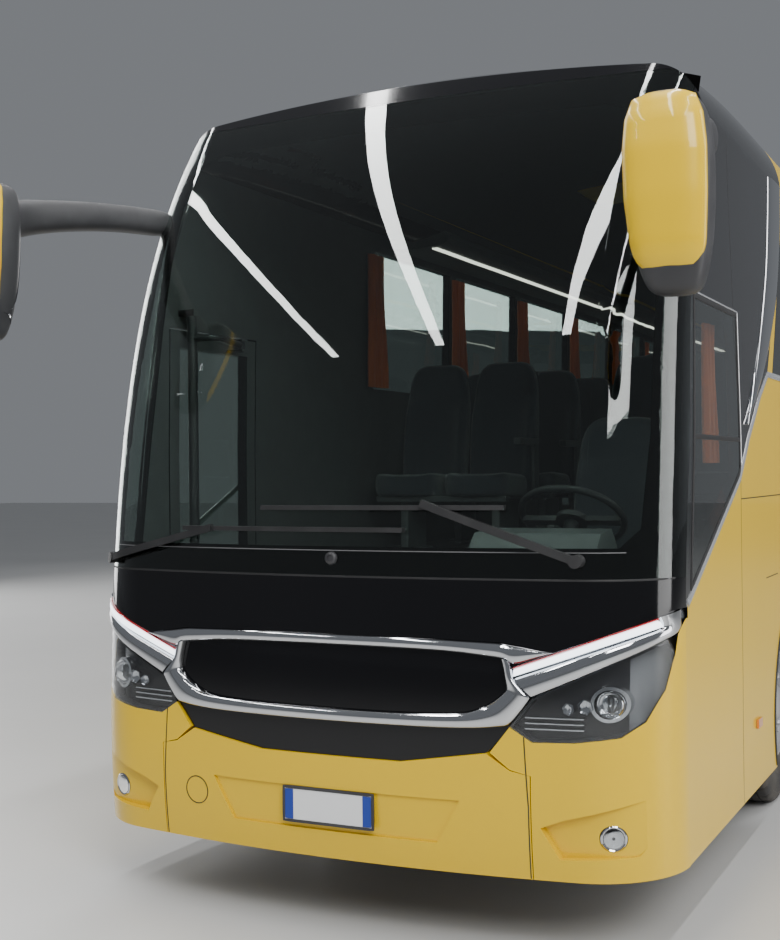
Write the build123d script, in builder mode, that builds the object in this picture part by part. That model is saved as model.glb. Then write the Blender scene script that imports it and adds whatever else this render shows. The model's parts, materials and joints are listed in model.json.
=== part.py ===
from build123d import *
from math import cos, hypot, radians, sin
import os

# High-deck touring coach with two axles, at its real size in millimetres.
# +Z is up, the coach faces -Y, and +X is its left side, where the driver sits.
# The origin is on the ground, in the middle of the coach with its mirrors.
# A place along the coach is given as a distance behind the front of the body.

os.makedirs("parts", exist_ok=True)

# Body
LENGTH = 12295
WIDTH = 2550
HEIGHT = 3770
MIRROR_REACH = 420
FRONT_OVERHANG = 2845
WHEELBASE = 6080
SKIRT = 300
WALL = 60
GLASS = 8
GAP = 8
CAB_SEAM = 460
TAIL_SEAM = 262

# Heights of the main lines
FLAP_TOP = 1375
BELT = 2225
WINDOW_TOP = 3185
CANTRAIL = 3240
SCREEN_TOP = 3400
CAB_FLOOR = 860
CABIN_FLOOR = 1310
FLOOR_THICK = 60

# Roof section
ROOF_HALF = 1247
ROOF_SPRING = 3210
ROOF_CORNER = 400
LEAN_FROM = 1900
BODY_LOW = 255
NOSE_PART = 2800
TAIL_PART = 900

# Wheels, axles and steering
TYRE_R = 522
TYRE_W = 295
RIM_R = 286
WHEEL_X = 1050
TWIN_X = 1080
TWIN_PITCH = 335
ARCH_R = 600
LINER_R = 620
LINER_IN = 500
LINER_THICK = 15
KING_PIN_X = 880
KING_PIN_R = 25
STUB_R = 40
RUNNING = 0.4

# Doors
DOOR_FRONT = 700
DOOR_WIDTH = 770
DOOR_SILL = 340
DOOR_TOP = 2465
MID_DOOR_FRONT = 6350
MID_DOOR_TOP = 2170
ARM_REACH = 420
ARM_CROOK = 150
ARM_R = 17
POST_R = 24
POST_BEHIND = 95
POST_INSIDE = 75

# Luggage hold and its flaps
HOLD_FRONT = 3560
HOLD_REAR = 8200
HOLD_FLOOR = 400
FLAP_HEAD = 1240

# Seats
SEAT_PITCH = 800
SEAT_ROWS = 12
SEAT_FIRST = 2500
SEAT_WIDTH = 430
AISLE_HALF = 215

# Door gear: the leaf's lugs and pin, the arm's boss and bend, and the lowest step
POST_X = -(WIDTH / 2 - WALL - POST_INSIDE)
LUG_ROOT = -(WIDTH / 2 - 50)
LUG_THICK, LUG_GAP = 10, 1
BOSS_R, BOSS_HALF = 26, 20
PIN_R = 11
ARM_BEND = 60
LOWER_ARM = 1000
DOOR_STILE = 85
STEP_LOW = 385
# columns: name, front edge, top, window sill, window head, upper arm, top of the post
DOORS = [
    ("door_front", DOOR_FRONT, DOOR_TOP, 1180, DOOR_TOP - 90, DOOR_TOP - 50, DOOR_TOP + 55),
    ("door_middle", MID_DOOR_FRONT, MID_DOOR_TOP, 1480, MID_DOOR_TOP - 110, MID_DOOR_TOP - 60,
     MID_DOOR_TOP + 16),
]

REAR_AXLE = FRONT_OVERHANG + WHEELBASE
FRONT = (MIRROR_REACH - LENGTH) / 2
REAR = FRONT + LENGTH


def back(distance):
    """Y of a place at a distance behind the front of the body."""
    return FRONT + distance


def block(x0, x1, y0, y1, z0, z1):
    """A box between two corners, its y measured behind the front."""
    with BuildPart() as box:
        with Locations(((x0 + x1) / 2, back((y0 + y1) / 2), (z0 + z1) / 2)):
            Box(abs(x1 - x0), y1 - y0, z1 - z0)
    return box.part


# Nose and tail: plan sections stacked at even heights, a little wider than the sides.
# columns: height, nose setback, corner depth, corner radius, half width, tail setback
SECTIONS = [
    (250, 25, 455, 380, 1276, 40),
    (1000, 0, 460, 380, 1276, 0),
    (1750, 78, 445, 360, 1276, 10),
    (2500, 262, 405, 325, 1264, 52),
    (3250, 690, 300, 245, 1249, 140),
    (4000, 1420, 260, 215, 1240, 290),
]
# Front of the roof: cross-sections at even places along the coach.
# columns: behind the front, crest height, corner radius
ROOF_SECTIONS = [
    (400, 3334, 100),
    (1000, 3524, 250),
    (1600, 3692, 355),
    (2200, 3762, 395),
    (2800, HEIGHT, ROOF_CORNER),
]
TAIL_DEPTH = 260
TAIL_CORNER = 220
TAIL_ROUND = 450
TAIL_ROUND_END = 165


def end_arcs(half, depth, radius, place):
    """Draw a bowed end: a corner arc, the bow and the other corner arc."""
    centre = half - radius
    bow = (centre**2 + depth**2 - radius**2) / (2 * (depth - radius))
    out = Vector(centre, depth - bow) / (bow - radius)
    middle = (out + Vector(1, 0)).normalized()
    joint = Vector(0, bow) + out * bow
    corner = Vector(centre, depth) + middle * radius
    ThreePointArc(place(half, depth), place(corner.X, corner.Y), place(joint.X, joint.Y))
    ThreePointArc(place(joint.X, joint.Y), place(0, 0), place(-joint.X, joint.Y))
    ThreePointArc(place(-joint.X, joint.Y), place(-corner.X, corner.Y), place(-half, depth))


def steepness(index, column):
    """How much longer the skin is than its height, from the rows above and below."""
    low = SECTIONS[max(index - 1, 0)]
    high = SECTIONS[min(index + 1, len(SECTIONS) - 1)]
    return hypot(1, (high[column] - low[column]) / (high[0] - low[0]))


def body_section(inset, place):
    """The body's own cross-section, upright sides leaning in to a crowned roof."""
    with BuildSketch(Plane.XZ.offset(-back(place))) as section:
        with BuildLine():
            end_arcs(ROOF_HALF - inset, HEIGHT - ROOF_SPRING - inset, ROOF_CORNER - inset,
                     lambda x, y: (x, HEIGHT - inset - y))
            for side in (1, -1):
                foot = side * (WIDTH / 2 - inset)
                Polyline((side * (ROOF_HALF - inset), ROOF_SPRING), (foot, LEAN_FROM), (foot, BODY_LOW))
            Line((WIDTH / 2 - inset, BODY_LOW), (inset - WIDTH / 2, BODY_LOW))
        make_face()
    return section.sketch.face()


def roof_section(inset, place, crest, radius):
    """A wide cross-section under one height of the roof's front."""
    half = ROOF_HALF - inset
    with BuildSketch(Plane.XZ.offset(-back(place))) as section:
        with BuildLine():
            end_arcs(half, crest - ROOF_SPRING - inset, radius - inset, lambda x, y: (x, crest - inset - y))
            Polyline((half, ROOF_SPRING), (WIDTH, ROOF_SPRING), (WIDTH, 0),
                     (-WIDTH, 0), (-WIDTH, ROOF_SPRING), (-half, ROOF_SPRING))
        make_face()
    return section.sketch.face()


def plan_section(inset, index, nose):
    """Half of a plan section: the nose, or the tail, closed straight across amidships."""
    height, nose_set, depth, radius, half, tail_set = SECTIONS[index]
    with BuildSketch(Plane.XY.offset(height)) as section:
        with BuildLine():
            if nose:
                tip = back(nose_set + inset * steepness(index, 1))
                foot = depth - inset
                end_arcs(half - inset, foot, radius - inset, lambda x, y: (x, tip + y))
                ends = (tip + foot, back(NOSE_PART))
            else:
                tip = REAR - tail_set - inset * steepness(index, 5)
                foot = TAIL_DEPTH - inset
                end_arcs(half - inset, foot, TAIL_CORNER - inset, lambda x, y: (x, tip - y))
                ends = (tip - foot, REAR - TAIL_PART)
            side = half - inset
            Polyline((side, ends[0]), (side, ends[1]), (-side, ends[1]), (-side, ends[0]))
        make_face()
    return section.sketch.face()


def envelope(inset):
    """The whole body as one closed form, a wall's depth inside its outer skin."""
    rows = range(len(SECTIONS))
    with BuildPart() as nose:
        extrude(body_section(inset, -500), amount=NOSE_PART + 500, dir=(0, 1, 0))
        with BuildPart(mode=Mode.PRIVATE) as roof_front:
            loft([roof_section(inset, *row) for row in ROOF_SECTIONS])
            add(block(-WIDTH, WIDTH, -500, ROOF_SECTIONS[0][0], 0, ROOF_SECTIONS[0][1]))
        add(roof_front.part, mode=Mode.INTERSECT)
        with BuildPart(mode=Mode.PRIVATE) as nose_form:
            loft([plan_section(inset, index, True) for index in rows])
        add(nose_form.part, mode=Mode.INTERSECT)
    with BuildPart() as tail:
        extrude(body_section(inset, LENGTH - TAIL_PART), amount=TAIL_PART + 500, dir=(0, 1, 0))
        with BuildPart(mode=Mode.PRIVATE) as tail_form:
            loft([plan_section(inset, index, False) for index in rows])
        add(tail_form.part, mode=Mode.INTERSECT)
        with BuildSketch(Plane.YZ.offset(-WIDTH)):
            with BuildLine():
                end = (REAR - TAIL_ROUND_END - inset, HEIGHT - TAIL_ROUND)
                top = (end[0] - TAIL_ROUND + inset, HEIGHT - inset)
                RadiusArc(end, top, TAIL_ROUND - inset)
                Polyline(top, (top[0], HEIGHT + WIDTH), (REAR + WIDTH, HEIGHT + WIDTH),
                         (REAR + WIDTH, end[1]), end)
            make_face()
        extrude(amount=2 * WIDTH, mode=Mode.SUBTRACT)
    with BuildPart() as form:
        extrude(body_section(inset, NOSE_PART), amount=LENGTH - NOSE_PART - TAIL_PART, dir=(0, 1, 0))
        add(nose.part)
        add(tail.part)
    return form.part


PROUD = 10
RECESS = 14
OUTER = envelope(0)
GLASS_BACK = envelope(GLASS)
INNER = envelope(WALL)
WALL_SHELL = OUTER - INNER
GLASS_SHELL = OUTER - GLASS_BACK

# The same forms cut short behind the windscreen, for the pieces of the nose
NOSE_ROOM = block(-WIDTH, WIDTH, -500, 1150, 200, 3500)
NOSE_OUTER = OUTER & NOSE_ROOM
NOSE_GLASS = GLASS_BACK & NOSE_ROOM
NOSE_INNER = INNER & NOSE_ROOM


def save(solid, label):
    """Label a finished piece and write its file."""
    solid.label = label
    export_step(solid, f"parts/{label}.step")


def side_region(points, side=0):
    """A region drawn in side view, (behind the front, height), through one side or both."""
    with BuildPart() as region:
        with BuildSketch(Plane.YZ.offset(0 if side else -WIDTH)):
            with BuildLine():
                Polyline(*[(back(y), z) for y, z in points], close=True)
            make_face()
        extrude(amount=WIDTH * side if side else 2 * WIDTH)
    return region.part


def front_region(points, depth=900, from_y=-200):
    """A region drawn in front view, (across, height), mirrored to both sides."""
    with BuildPart() as region:
        with BuildSketch(Plane.XZ.offset(-back(from_y))):
            with BuildLine():
                Polyline(*points, close=True)
            make_face()
            mirror(about=Plane.YZ)
        extrude(amount=-depth)
    return region.part


# The seams and trims of the cab's sides, in side view
CAB_EDGE = [(CAB_SEAM, 1270), (655, 2465), (800, 3150), (980, SCREEN_TOP)]
DIAGONAL = [(CAB_SEAM, 1270), (1449, 1722), (1661, 1909), (1958, 2119), (2170, BELT)]
BRACKET_BACK = [(2170, BELT), (2315, 2450), (2494, 2650), (2640, 2950), (2720, CANTRAIL)]
AHEAD = [(-500, SCREEN_TOP), (-500, 0), (CAB_SEAM, 0)] + CAB_EDGE
NOSE = side_region(AHEAD)
CAB_SIDE = side_region(DIAGONAL + BRACKET_BACK[1:] + [(400, CANTRAIL), (300, 1270)])
TAIL = block(-WIDTH, WIDTH, LENGTH - TAIL_SEAM, LENGTH + 500, 0, CANTRAIL)

# Openings in the sides
DRIVER_WINDOW = [(508, 1314), (662, 2455), (1465, 2455), (1465, 1768), (1440, 1742)]
WINDOW_POSTS = [2780, 4060, 5340, 6620, 7900, 9180, 10460, 11750]
POST_WIDTH = 110
PANE_JOINT = 10


def window_points(front, rear, low, high):
    """A side window; the foremost one leans along the bracket."""
    if front == WINDOW_POSTS[0]:
        return [(front - 480, low), (front - 10, high), (rear, high), (rear, low)]
    return [(front, low), (front, high), (rear, high), (rear, low)]


with BuildPart() as side_glass:
    add(GLASS_SHELL)
    with BuildPart(mode=Mode.PRIVATE) as pane_places:
        for front, rear in zip(WINDOW_POSTS, WINDOW_POSTS[1:]):
            add(side_region(window_points(front, rear - PANE_JOINT, BELT + 12, WINDOW_TOP)))
    add(pane_places.part, mode=Mode.INTERSECT)
save(side_glass.part, "side_glass")

with BuildPart() as window_holes:
    for front, rear in zip(WINDOW_POSTS, WINDOW_POSTS[1:]):
        add(side_region(window_points(front + POST_WIDTH / 2, rear - POST_WIDTH / 2 - PANE_JOINT,
                                      BELT + 60, WINDOW_TOP - 60)))

FRONT_DOOR = block(-WIDTH, 0, DOOR_FRONT, DOOR_FRONT + DOOR_WIDTH, 0, DOOR_TOP)
MIDDLE_DOOR = block(-WIDTH, 0, MID_DOOR_FRONT, MID_DOOR_FRONT + DOOR_WIDTH, 0, MID_DOOR_TOP)

# Luggage flaps: columns: name, side, front edge, rear edge
FLAPS = [
    ("luggage_flap_left_front", 1, HOLD_FRONT + 40, 5060),
    ("luggage_flap_left_middle", 1, 5080, 6560),
    ("luggage_flap_left_rear", 1, 6580, HOLD_REAR - 40),
    ("luggage_flap_right_front", -1, HOLD_FRONT + 40, 5460),
    ("luggage_flap_right_rear", -1, 7240, HOLD_REAR - 40),
]


def arches(radius, low_x):
    """Round clearances for the four wheels, from low_x outwards on both sides."""
    with BuildPart() as holes:
        for axle in (FRONT_OVERHANG, REAR_AXLE):
            for side in (-1, 1):
                with BuildSketch(Plane.YZ.offset(side * low_x)):
                    with Locations((back(axle), TYRE_R)):
                        Circle(radius)
                extrude(amount=side * WIDTH)
    return holes.part


WHEEL_ARCHES = arches(ARCH_R, LINER_IN)


def post_bracket(door):
    """The bracket above a door that holds the top of its post, rooted in the wall."""
    front, post_top = door[1], door[-1]
    middle = front + POST_BEHIND
    return block(LUG_ROOT, POST_X + POST_R, middle - POST_R, middle + POST_R, post_top, post_top + 30)


def side_wall(side):
    """One outer side behind the cab seam, with its arches, windows, doors and flaps cut."""
    with BuildPart() as wall:
        add(WALL_SHELL)
        add(block(0, side * WIDTH, -500, LENGTH - TAIL_SEAM, SKIRT, CANTRAIL), mode=Mode.INTERSECT)
        add(NOSE, mode=Mode.SUBTRACT)
        add(CAB_SIDE, mode=Mode.SUBTRACT)
        add(WHEEL_ARCHES, mode=Mode.SUBTRACT)
        add(window_holes.part, mode=Mode.SUBTRACT)
        add(side_glass.part, mode=Mode.SUBTRACT)
        for name, flap_side, front, rear in FLAPS:
            if flap_side == side:
                add(block(0, side * WIDTH, front, rear, 0, FLAP_HEAD), mode=Mode.SUBTRACT)
        if side < 0:
            add(FRONT_DOOR, mode=Mode.SUBTRACT)
            add(MIDDLE_DOOR, mode=Mode.SUBTRACT)
            add(post_bracket(DOORS[1]))
    return wall.part


save(side_wall(1), "side_wall_left")
save(side_wall(-1), "side_wall_right")

# Black side panels of the cab, with the driver's window on the left
DRIVER_HOLE = side_region(DRIVER_WINDOW, 1)
with BuildPart() as cab_sides:
    add(WALL_SHELL)
    add(CAB_SIDE, mode=Mode.INTERSECT)
    add(NOSE, mode=Mode.SUBTRACT)
    add(DRIVER_HOLE, mode=Mode.SUBTRACT)
    add(FRONT_DOOR, mode=Mode.SUBTRACT)
    add(post_bracket(DOORS[0]))
save(cab_sides.part, "cab_sides")

with BuildPart() as driver_window:
    add(GLASS_SHELL)
    add(DRIVER_HOLE, mode=Mode.INTERSECT)
save(driver_window.part, "driver_window")

# Roof, in a black front cap and a long rear skin, with two hatches
CAP_END = 2720
HATCH_LENGTH = 620
HATCH_HALF = 380
HATCH_GAP = 10
HATCHES = [("roof_hatch_front", 4300), ("roof_hatch_rear", 9700)]

with BuildPart() as roof_places:
    add(block(-WIDTH, WIDTH, CAB_SEAM, LENGTH + 500, CANTRAIL, HEIGHT + 200))
    add(NOSE, mode=Mode.SUBTRACT)
ROOF_SHELL = WALL_SHELL & roof_places.part

with BuildPart() as roof_cap:
    add(ROOF_SHELL)
    add(block(-WIDTH, WIDTH, -500, CAP_END, 0, HEIGHT + 200), mode=Mode.INTERSECT)
save(roof_cap.part, "roof_cap")

with BuildPart() as roof:
    add(ROOF_SHELL)
    add(block(-WIDTH, WIDTH, -500, CAP_END, 0, HEIGHT + 200), mode=Mode.SUBTRACT)
    for name, front in HATCHES:
        add(block(-HATCH_HALF, HATCH_HALF, front, front + HATCH_LENGTH, 3500, 4000), mode=Mode.SUBTRACT)
save(roof.part, "roof")

for name, front in HATCHES:
    with BuildPart() as hatch:
        add(ROOF_SHELL)
        add(block(-HATCH_HALF + HATCH_GAP, HATCH_HALF - HATCH_GAP, front + HATCH_GAP,
                  front + HATCH_LENGTH - HATCH_GAP, 3500, 4000), mode=Mode.INTERSECT)
    save(hatch.part, name)

# Windscreen and the black flap under it
with BuildPart() as windscreen:
    add(NOSE_OUTER)
    add(NOSE_GLASS, mode=Mode.SUBTRACT)
    add(NOSE, mode=Mode.INTERSECT)
    add(block(-WIDTH, WIDTH, -500, 2000, FLAP_TOP, SCREEN_TOP), mode=Mode.INTERSECT)
save(windscreen.part, "windscreen")

# Front panels: outlines in front view, (across, height), from the middle outwards
BAR_LOW, BAR_HIGH = 1118, 1158
LAMP_LINE = [(723, 847), (806, 795), (955, 799), (1110, 819), (1183, 870), (1234, 976), (1256, 1098),
             (1238, 1156), (1043, 1059), (803, 952)]
STRIP_LINE = [(732, 1025), (732, 1061), (1218, 1237), (1230, 1198)]
UPPER_BAR = [(0, BAR_LOW), (0, BAR_HIGH), (400, BAR_HIGH), (689, 1150), (880, 1119), (732, 1063),
             (718, 1088), (500, 1112)]
LOWER_BAR = [(0, 827), (0, 879), (301, 879), (555, 893), (709, 981), (690, 1095), (718, 1088), (732, 1061),
             (732, 1025), (803, 952), (723, 847), (500, 830)]
BROW = [(803, 954), (732, 1025), (1230, 1198), (1218, 1237), (1262, 1262), (1285, 1262), (1262, 1170),
        (1238, 1156), (1043, 1059)]
GRILLE_LINE = [(0, 696), (300, 696), (633, 748), (723, 847), (800, 951), (730, 1022), (730, 1063),
               (870, 1115), (689, 1150), (400, BAR_HIGH), (0, BAR_HIGH)]
FLAP_LINE = [(0, BAR_HIGH), (400, BAR_HIGH), (689, 1150), (880, 1119), (1218, 1237), (1262, 1262),
             (1400, 1270), (1400, FLAP_TOP), (0, FLAP_TOP)]
BUMPER_SPLIT = 796
BUMPER_SEAM = 4
BUMPER_MIDDLE = [(0, SKIRT - 3), (0, 696), (300, 696), (633, 748), (723, 690), (BUMPER_SPLIT, 675),
                 (BUMPER_SPLIT, SKIRT - 3)]
BUMPER_SIDE = [(BUMPER_SPLIT + BUMPER_SEAM, SKIRT - 3), (BUMPER_SPLIT + BUMPER_SEAM, 675), (723, 694),
               (650, 752), (723, 847), (806, 795), (955, 799), (1110, 819), (1183, 870), (1234, 976),
               (1256, 1098), (1262, 1170), (1285, 1262), (1500, 1262), (1500, SKIRT - 3)]
FRONT_PANEL = NOSE_OUTER - NOSE_INNER
SUNKEN = NOSE_OUTER.moved(Location((0, RECESS, 0)))
RECESSED = SUNKEN - NOSE_INNER
RAISED = NOSE_OUTER.moved(Location((0, -PROUD, 0))) - SUNKEN


def shifted(form, side, shift):
    """A form of the nose moved back and outwards by the same amount."""
    return form.moved(Location((side * shift, shift, 0)))


def nose_piece(shell, points, label):
    """Cut one front panel out of a skin ahead of the cab seam and save it."""
    with BuildPart() as piece:
        add(shell)
        add(front_region(points), mode=Mode.INTERSECT)
        add(NOSE, mode=Mode.INTERSECT)
    save(piece.part, label)


nose_piece(FRONT_PANEL, FLAP_LINE, "front_flap")
nose_piece(RECESSED, GRILLE_LINE, "grille_panel")
nose_piece(FRONT_PANEL, STRIP_LINE, "light_strips")

# Headlamps: a clear lens, and a gap behind it a bowl with a projector's barrel and three fins
LENS_GAP, BOWL_FLOOR, BOWL_RIM = 1, 10, 8
BARREL_AT, BARREL_R, BARREL_BORE, BARREL_BACK = (1067, 934), 64, 52, 12
FINS, FIN_THICK, FIN_BACK = (838, 858, 878), 5, 18


def lamp_place(inset):
    """The headlamps' outline through the nose on both sides, or one drawn inside it."""
    with BuildPart() as place:
        with BuildSketch(Plane.XZ.offset(-back(-200))):
            with BuildLine():
                Polyline(*LAMP_LINE, close=True)
            make_face()
            if inset:
                offset(amount=-inset, kind=Kind.INTERSECTION)
            mirror(about=Plane.YZ)
        extrude(amount=-900)
    return place.part


LAMP_PLACE = lamp_place(0)
BOWL_PLACE = lamp_place(BOWL_RIM)
with BuildPart() as barrel_place:
    with BuildSketch(Plane.XZ.offset(-back(-200))):
        with Locations(BARREL_AT, (-BARREL_AT[0], BARREL_AT[1])):
            Circle(BARREL_R)
            Circle(BARREL_BORE, mode=Mode.SUBTRACT)
    extrude(amount=-900)

with BuildPart() as headlamps:
    add(NOSE_OUTER)
    add(NOSE_GLASS, mode=Mode.SUBTRACT)
    add(LAMP_PLACE, mode=Mode.INTERSECT)
    add(NOSE, mode=Mode.INTERSECT)
    for side in (-1, 1):
        half_space = block(0, side * WIDTH, -500, 900, 300, 1400)
        inside = shifted(NOSE_INNER, side, -BOWL_FLOOR)
        with BuildPart(mode=Mode.PRIVATE) as bowl:
            add(shifted(NOSE_GLASS, -side, LENS_GAP))
            add(half_space, mode=Mode.INTERSECT)
            add(LAMP_PLACE, mode=Mode.INTERSECT)
            add(NOSE, mode=Mode.INTERSECT)
            add(BOWL_PLACE - inside, mode=Mode.SUBTRACT)
            with BuildPart(mode=Mode.PRIVATE) as barrel:
                add(shifted(NOSE_GLASS, -side, BARREL_BACK))
                add(barrel_place.part, mode=Mode.INTERSECT)
                add(half_space, mode=Mode.INTERSECT)
            add(barrel.part)
            with BuildPart(mode=Mode.PRIVATE) as fins:
                for height in FINS:
                    add(block(side * 770, side * 980, -200, 400, height, height + FIN_THICK))
                add(shifted(NOSE_GLASS, -side, FIN_BACK), mode=Mode.INTERSECT)
                add(LAMP_PLACE, mode=Mode.INTERSECT)
            add(fins.part)
            add(NOSE_INNER, mode=Mode.SUBTRACT)
        add(bowl.part)
save(headlamps.part, "headlamps")

with BuildPart() as front_chrome:
    for outline in (UPPER_BAR, LOWER_BAR, BROW):
        with BuildPart(mode=Mode.PRIVATE) as bar:
            add(RAISED)
            add(front_region(outline), mode=Mode.INTERSECT)
            add(NOSE, mode=Mode.INTERSECT)
        add(bar.part)
save(front_chrome.part, "front_chrome")

FOG_X, FOG_Z, FOG_R = 1075, 455, 48
with BuildPart() as fog_holes:
    with BuildSketch(Plane.XZ.offset(-back(-200))):
        with Locations((FOG_X, FOG_Z), (-FOG_X, FOG_Z)):
            Circle(FOG_R)
    extrude(amount=-600)

# Scoops round the fog lamps: their floor is the skin moved back and outwards, so each fades out
# towards the corner. The plate's holder stands in a shallow recess of the middle part.
SCOOP = [(831, 489), (914, 522), (1215, 600), (1230, 480), (1159, 391), (898, 379)]
SCOOP_SHIFT, FOG_SHIFT = 42, 50
PLATE_RECESS = 9
RECESS_LINE = [(0, 405), (440, 405), (533, 569), (0, 569)]
PLATE_W, PLATE_H, PLATE_THICK = 380, 125, 16
PLATE_FRONT, PLATE_LOW, REAR_PLATE_LOW = -12, 435, 560
FRONT_PLATE = block(-PLATE_W / 2, PLATE_W / 2, PLATE_FRONT, PLATE_FRONT + PLATE_THICK,
                    PLATE_LOW, PLATE_LOW + PLATE_H)
REAR_PLATE = block(-PLATE_W / 2, PLATE_W / 2, LENGTH - 4 - PLATE_THICK, LENGTH - 4,
                   REAR_PLATE_LOW, REAR_PLATE_LOW + PLATE_H)

with BuildPart() as hollows:
    for side in (-1, 1):
        with BuildPart(mode=Mode.PRIVATE) as scoop:
            add(NOSE_OUTER)
            add(block(0, side * WIDTH, -500, 900, 300, 700), mode=Mode.INTERSECT)
            add(front_region(SCOOP), mode=Mode.INTERSECT)
            add(shifted(NOSE_OUTER, side, SCOOP_SHIFT), mode=Mode.SUBTRACT)
        add(scoop.part)
    with BuildPart(mode=Mode.PRIVATE) as plate_place:
        add(NOSE_OUTER)
        add(front_region(RECESS_LINE), mode=Mode.INTERSECT)
        add(NOSE_OUTER.moved(Location((0, PLATE_RECESS, 0))), mode=Mode.SUBTRACT)
    add(plate_place.part)

with BuildPart() as front_bumper:
    for outline in (BUMPER_MIDDLE, BUMPER_SIDE):
        with BuildPart(mode=Mode.PRIVATE) as part_of_bumper:
            add(FRONT_PANEL)
            add(front_region(outline), mode=Mode.INTERSECT)
            add(NOSE, mode=Mode.INTERSECT)
            add(fog_holes.part, mode=Mode.SUBTRACT)
        add(part_of_bumper.part)
    add(hollows.part, mode=Mode.SUBTRACT)
    add(FRONT_PLATE, mode=Mode.SUBTRACT)
save(front_bumper.part, "front_bumper")

MARKER_AT, MARKER_Z = 1810, 600
with BuildPart() as small_lamps:
    for side in (-1, 1):
        with BuildPart(mode=Mode.PRIVATE) as fog_body:
            add(FRONT_PANEL)
            add(fog_holes.part, mode=Mode.INTERSECT)
            add(block(0, side * WIDTH, -500, 900, 300, 700), mode=Mode.INTERSECT)
            add(shifted(NOSE_OUTER, side, FOG_SHIFT), mode=Mode.INTERSECT)
        add(fog_body.part)
        add(block(side * WIDTH / 2, side * (WIDTH / 2 + 12), MARKER_AT - 45, MARKER_AT + 45,
                  MARKER_Z - 20, MARKER_Z + 20))
save(small_lamps.part, "small_lamps")

# Tail: wall with window, lamps and engine flap, and the bumper
TAIL_BUMPER_TOP = 760
ENGINE_FLAP_HALF, ENGINE_FLAP_LOW, ENGINE_FLAP_HIGH = 880, 790, 1560
LOUVRES, LOUVRE_LOW, LOUVRE_PITCH, LOUVRE_HIGH = 7, 1060, 60, 26
LOUVRE_IN, LOUVRE_OUT = 60, 780
TAIL_WINDOW = (1020, BELT + 30, 3080)
TAIL_LAMP = (1000, 1170, 860, 1520)


def tail_block(x0, x1, z0, z1):
    """A box through the tail between two heights, for both sides when x0 is above 0."""
    with BuildPart() as box:
        add(block(x0, x1, LENGTH - 700, LENGTH + 500, z0, z1))
        mirror(about=Plane.YZ)
    return box.part


with BuildPart() as rear_wall:
    add(WALL_SHELL)
    add(TAIL, mode=Mode.INTERSECT)
    add(block(-WIDTH, WIDTH, 9000, LENGTH + 500, TAIL_BUMPER_TOP, CANTRAIL), mode=Mode.INTERSECT)
    add(tail_block(0, ENGINE_FLAP_HALF, ENGINE_FLAP_LOW, ENGINE_FLAP_HIGH), mode=Mode.SUBTRACT)
    add(tail_block(0, TAIL_WINDOW[0], TAIL_WINDOW[1], TAIL_WINDOW[2]), mode=Mode.SUBTRACT)
    add(tail_block(*TAIL_LAMP), mode=Mode.SUBTRACT)
save(rear_wall.part, "rear_wall")

with BuildPart() as rear_bumper:
    add(WALL_SHELL)
    add(TAIL, mode=Mode.INTERSECT)
    add(block(-WIDTH, WIDTH, 9000, LENGTH + 500, SKIRT, TAIL_BUMPER_TOP), mode=Mode.INTERSECT)
    add(REAR_PLATE, mode=Mode.SUBTRACT)
save(rear_bumper.part, "rear_bumper")

with BuildPart() as rear_window:
    add(GLASS_SHELL)
    add(tail_block(0, TAIL_WINDOW[0], TAIL_WINDOW[1], TAIL_WINDOW[2]), mode=Mode.INTERSECT)
save(rear_window.part, "rear_window")

with BuildPart() as tail_lamps:
    add(WALL_SHELL)
    add(tail_block(*TAIL_LAMP), mode=Mode.INTERSECT)
save(tail_lamps.part, "tail_lamps")

with BuildPart() as engine_flap:
    add(WALL_SHELL)
    add(TAIL, mode=Mode.INTERSECT)
    add(tail_block(0, ENGINE_FLAP_HALF - GAP, ENGINE_FLAP_LOW + GAP, ENGINE_FLAP_HIGH - GAP),
        mode=Mode.INTERSECT)
    for louvre in range(LOUVRES):
        low = LOUVRE_LOW + louvre * LOUVRE_PITCH
        add(tail_block(LOUVRE_IN, LOUVRE_OUT, low, low + LOUVRE_HIGH), mode=Mode.SUBTRACT)
save(engine_flap.part, "engine_flap")

# Luggage flaps
for name, side, front, rear in FLAPS:
    with BuildPart() as flap:
        add(block(side * (WIDTH / 2 - WALL), side * WIDTH / 2, front + GAP, rear - GAP,
                  SKIRT, FLAP_HEAD - GAP))
    save(flap.part, name)

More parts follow.
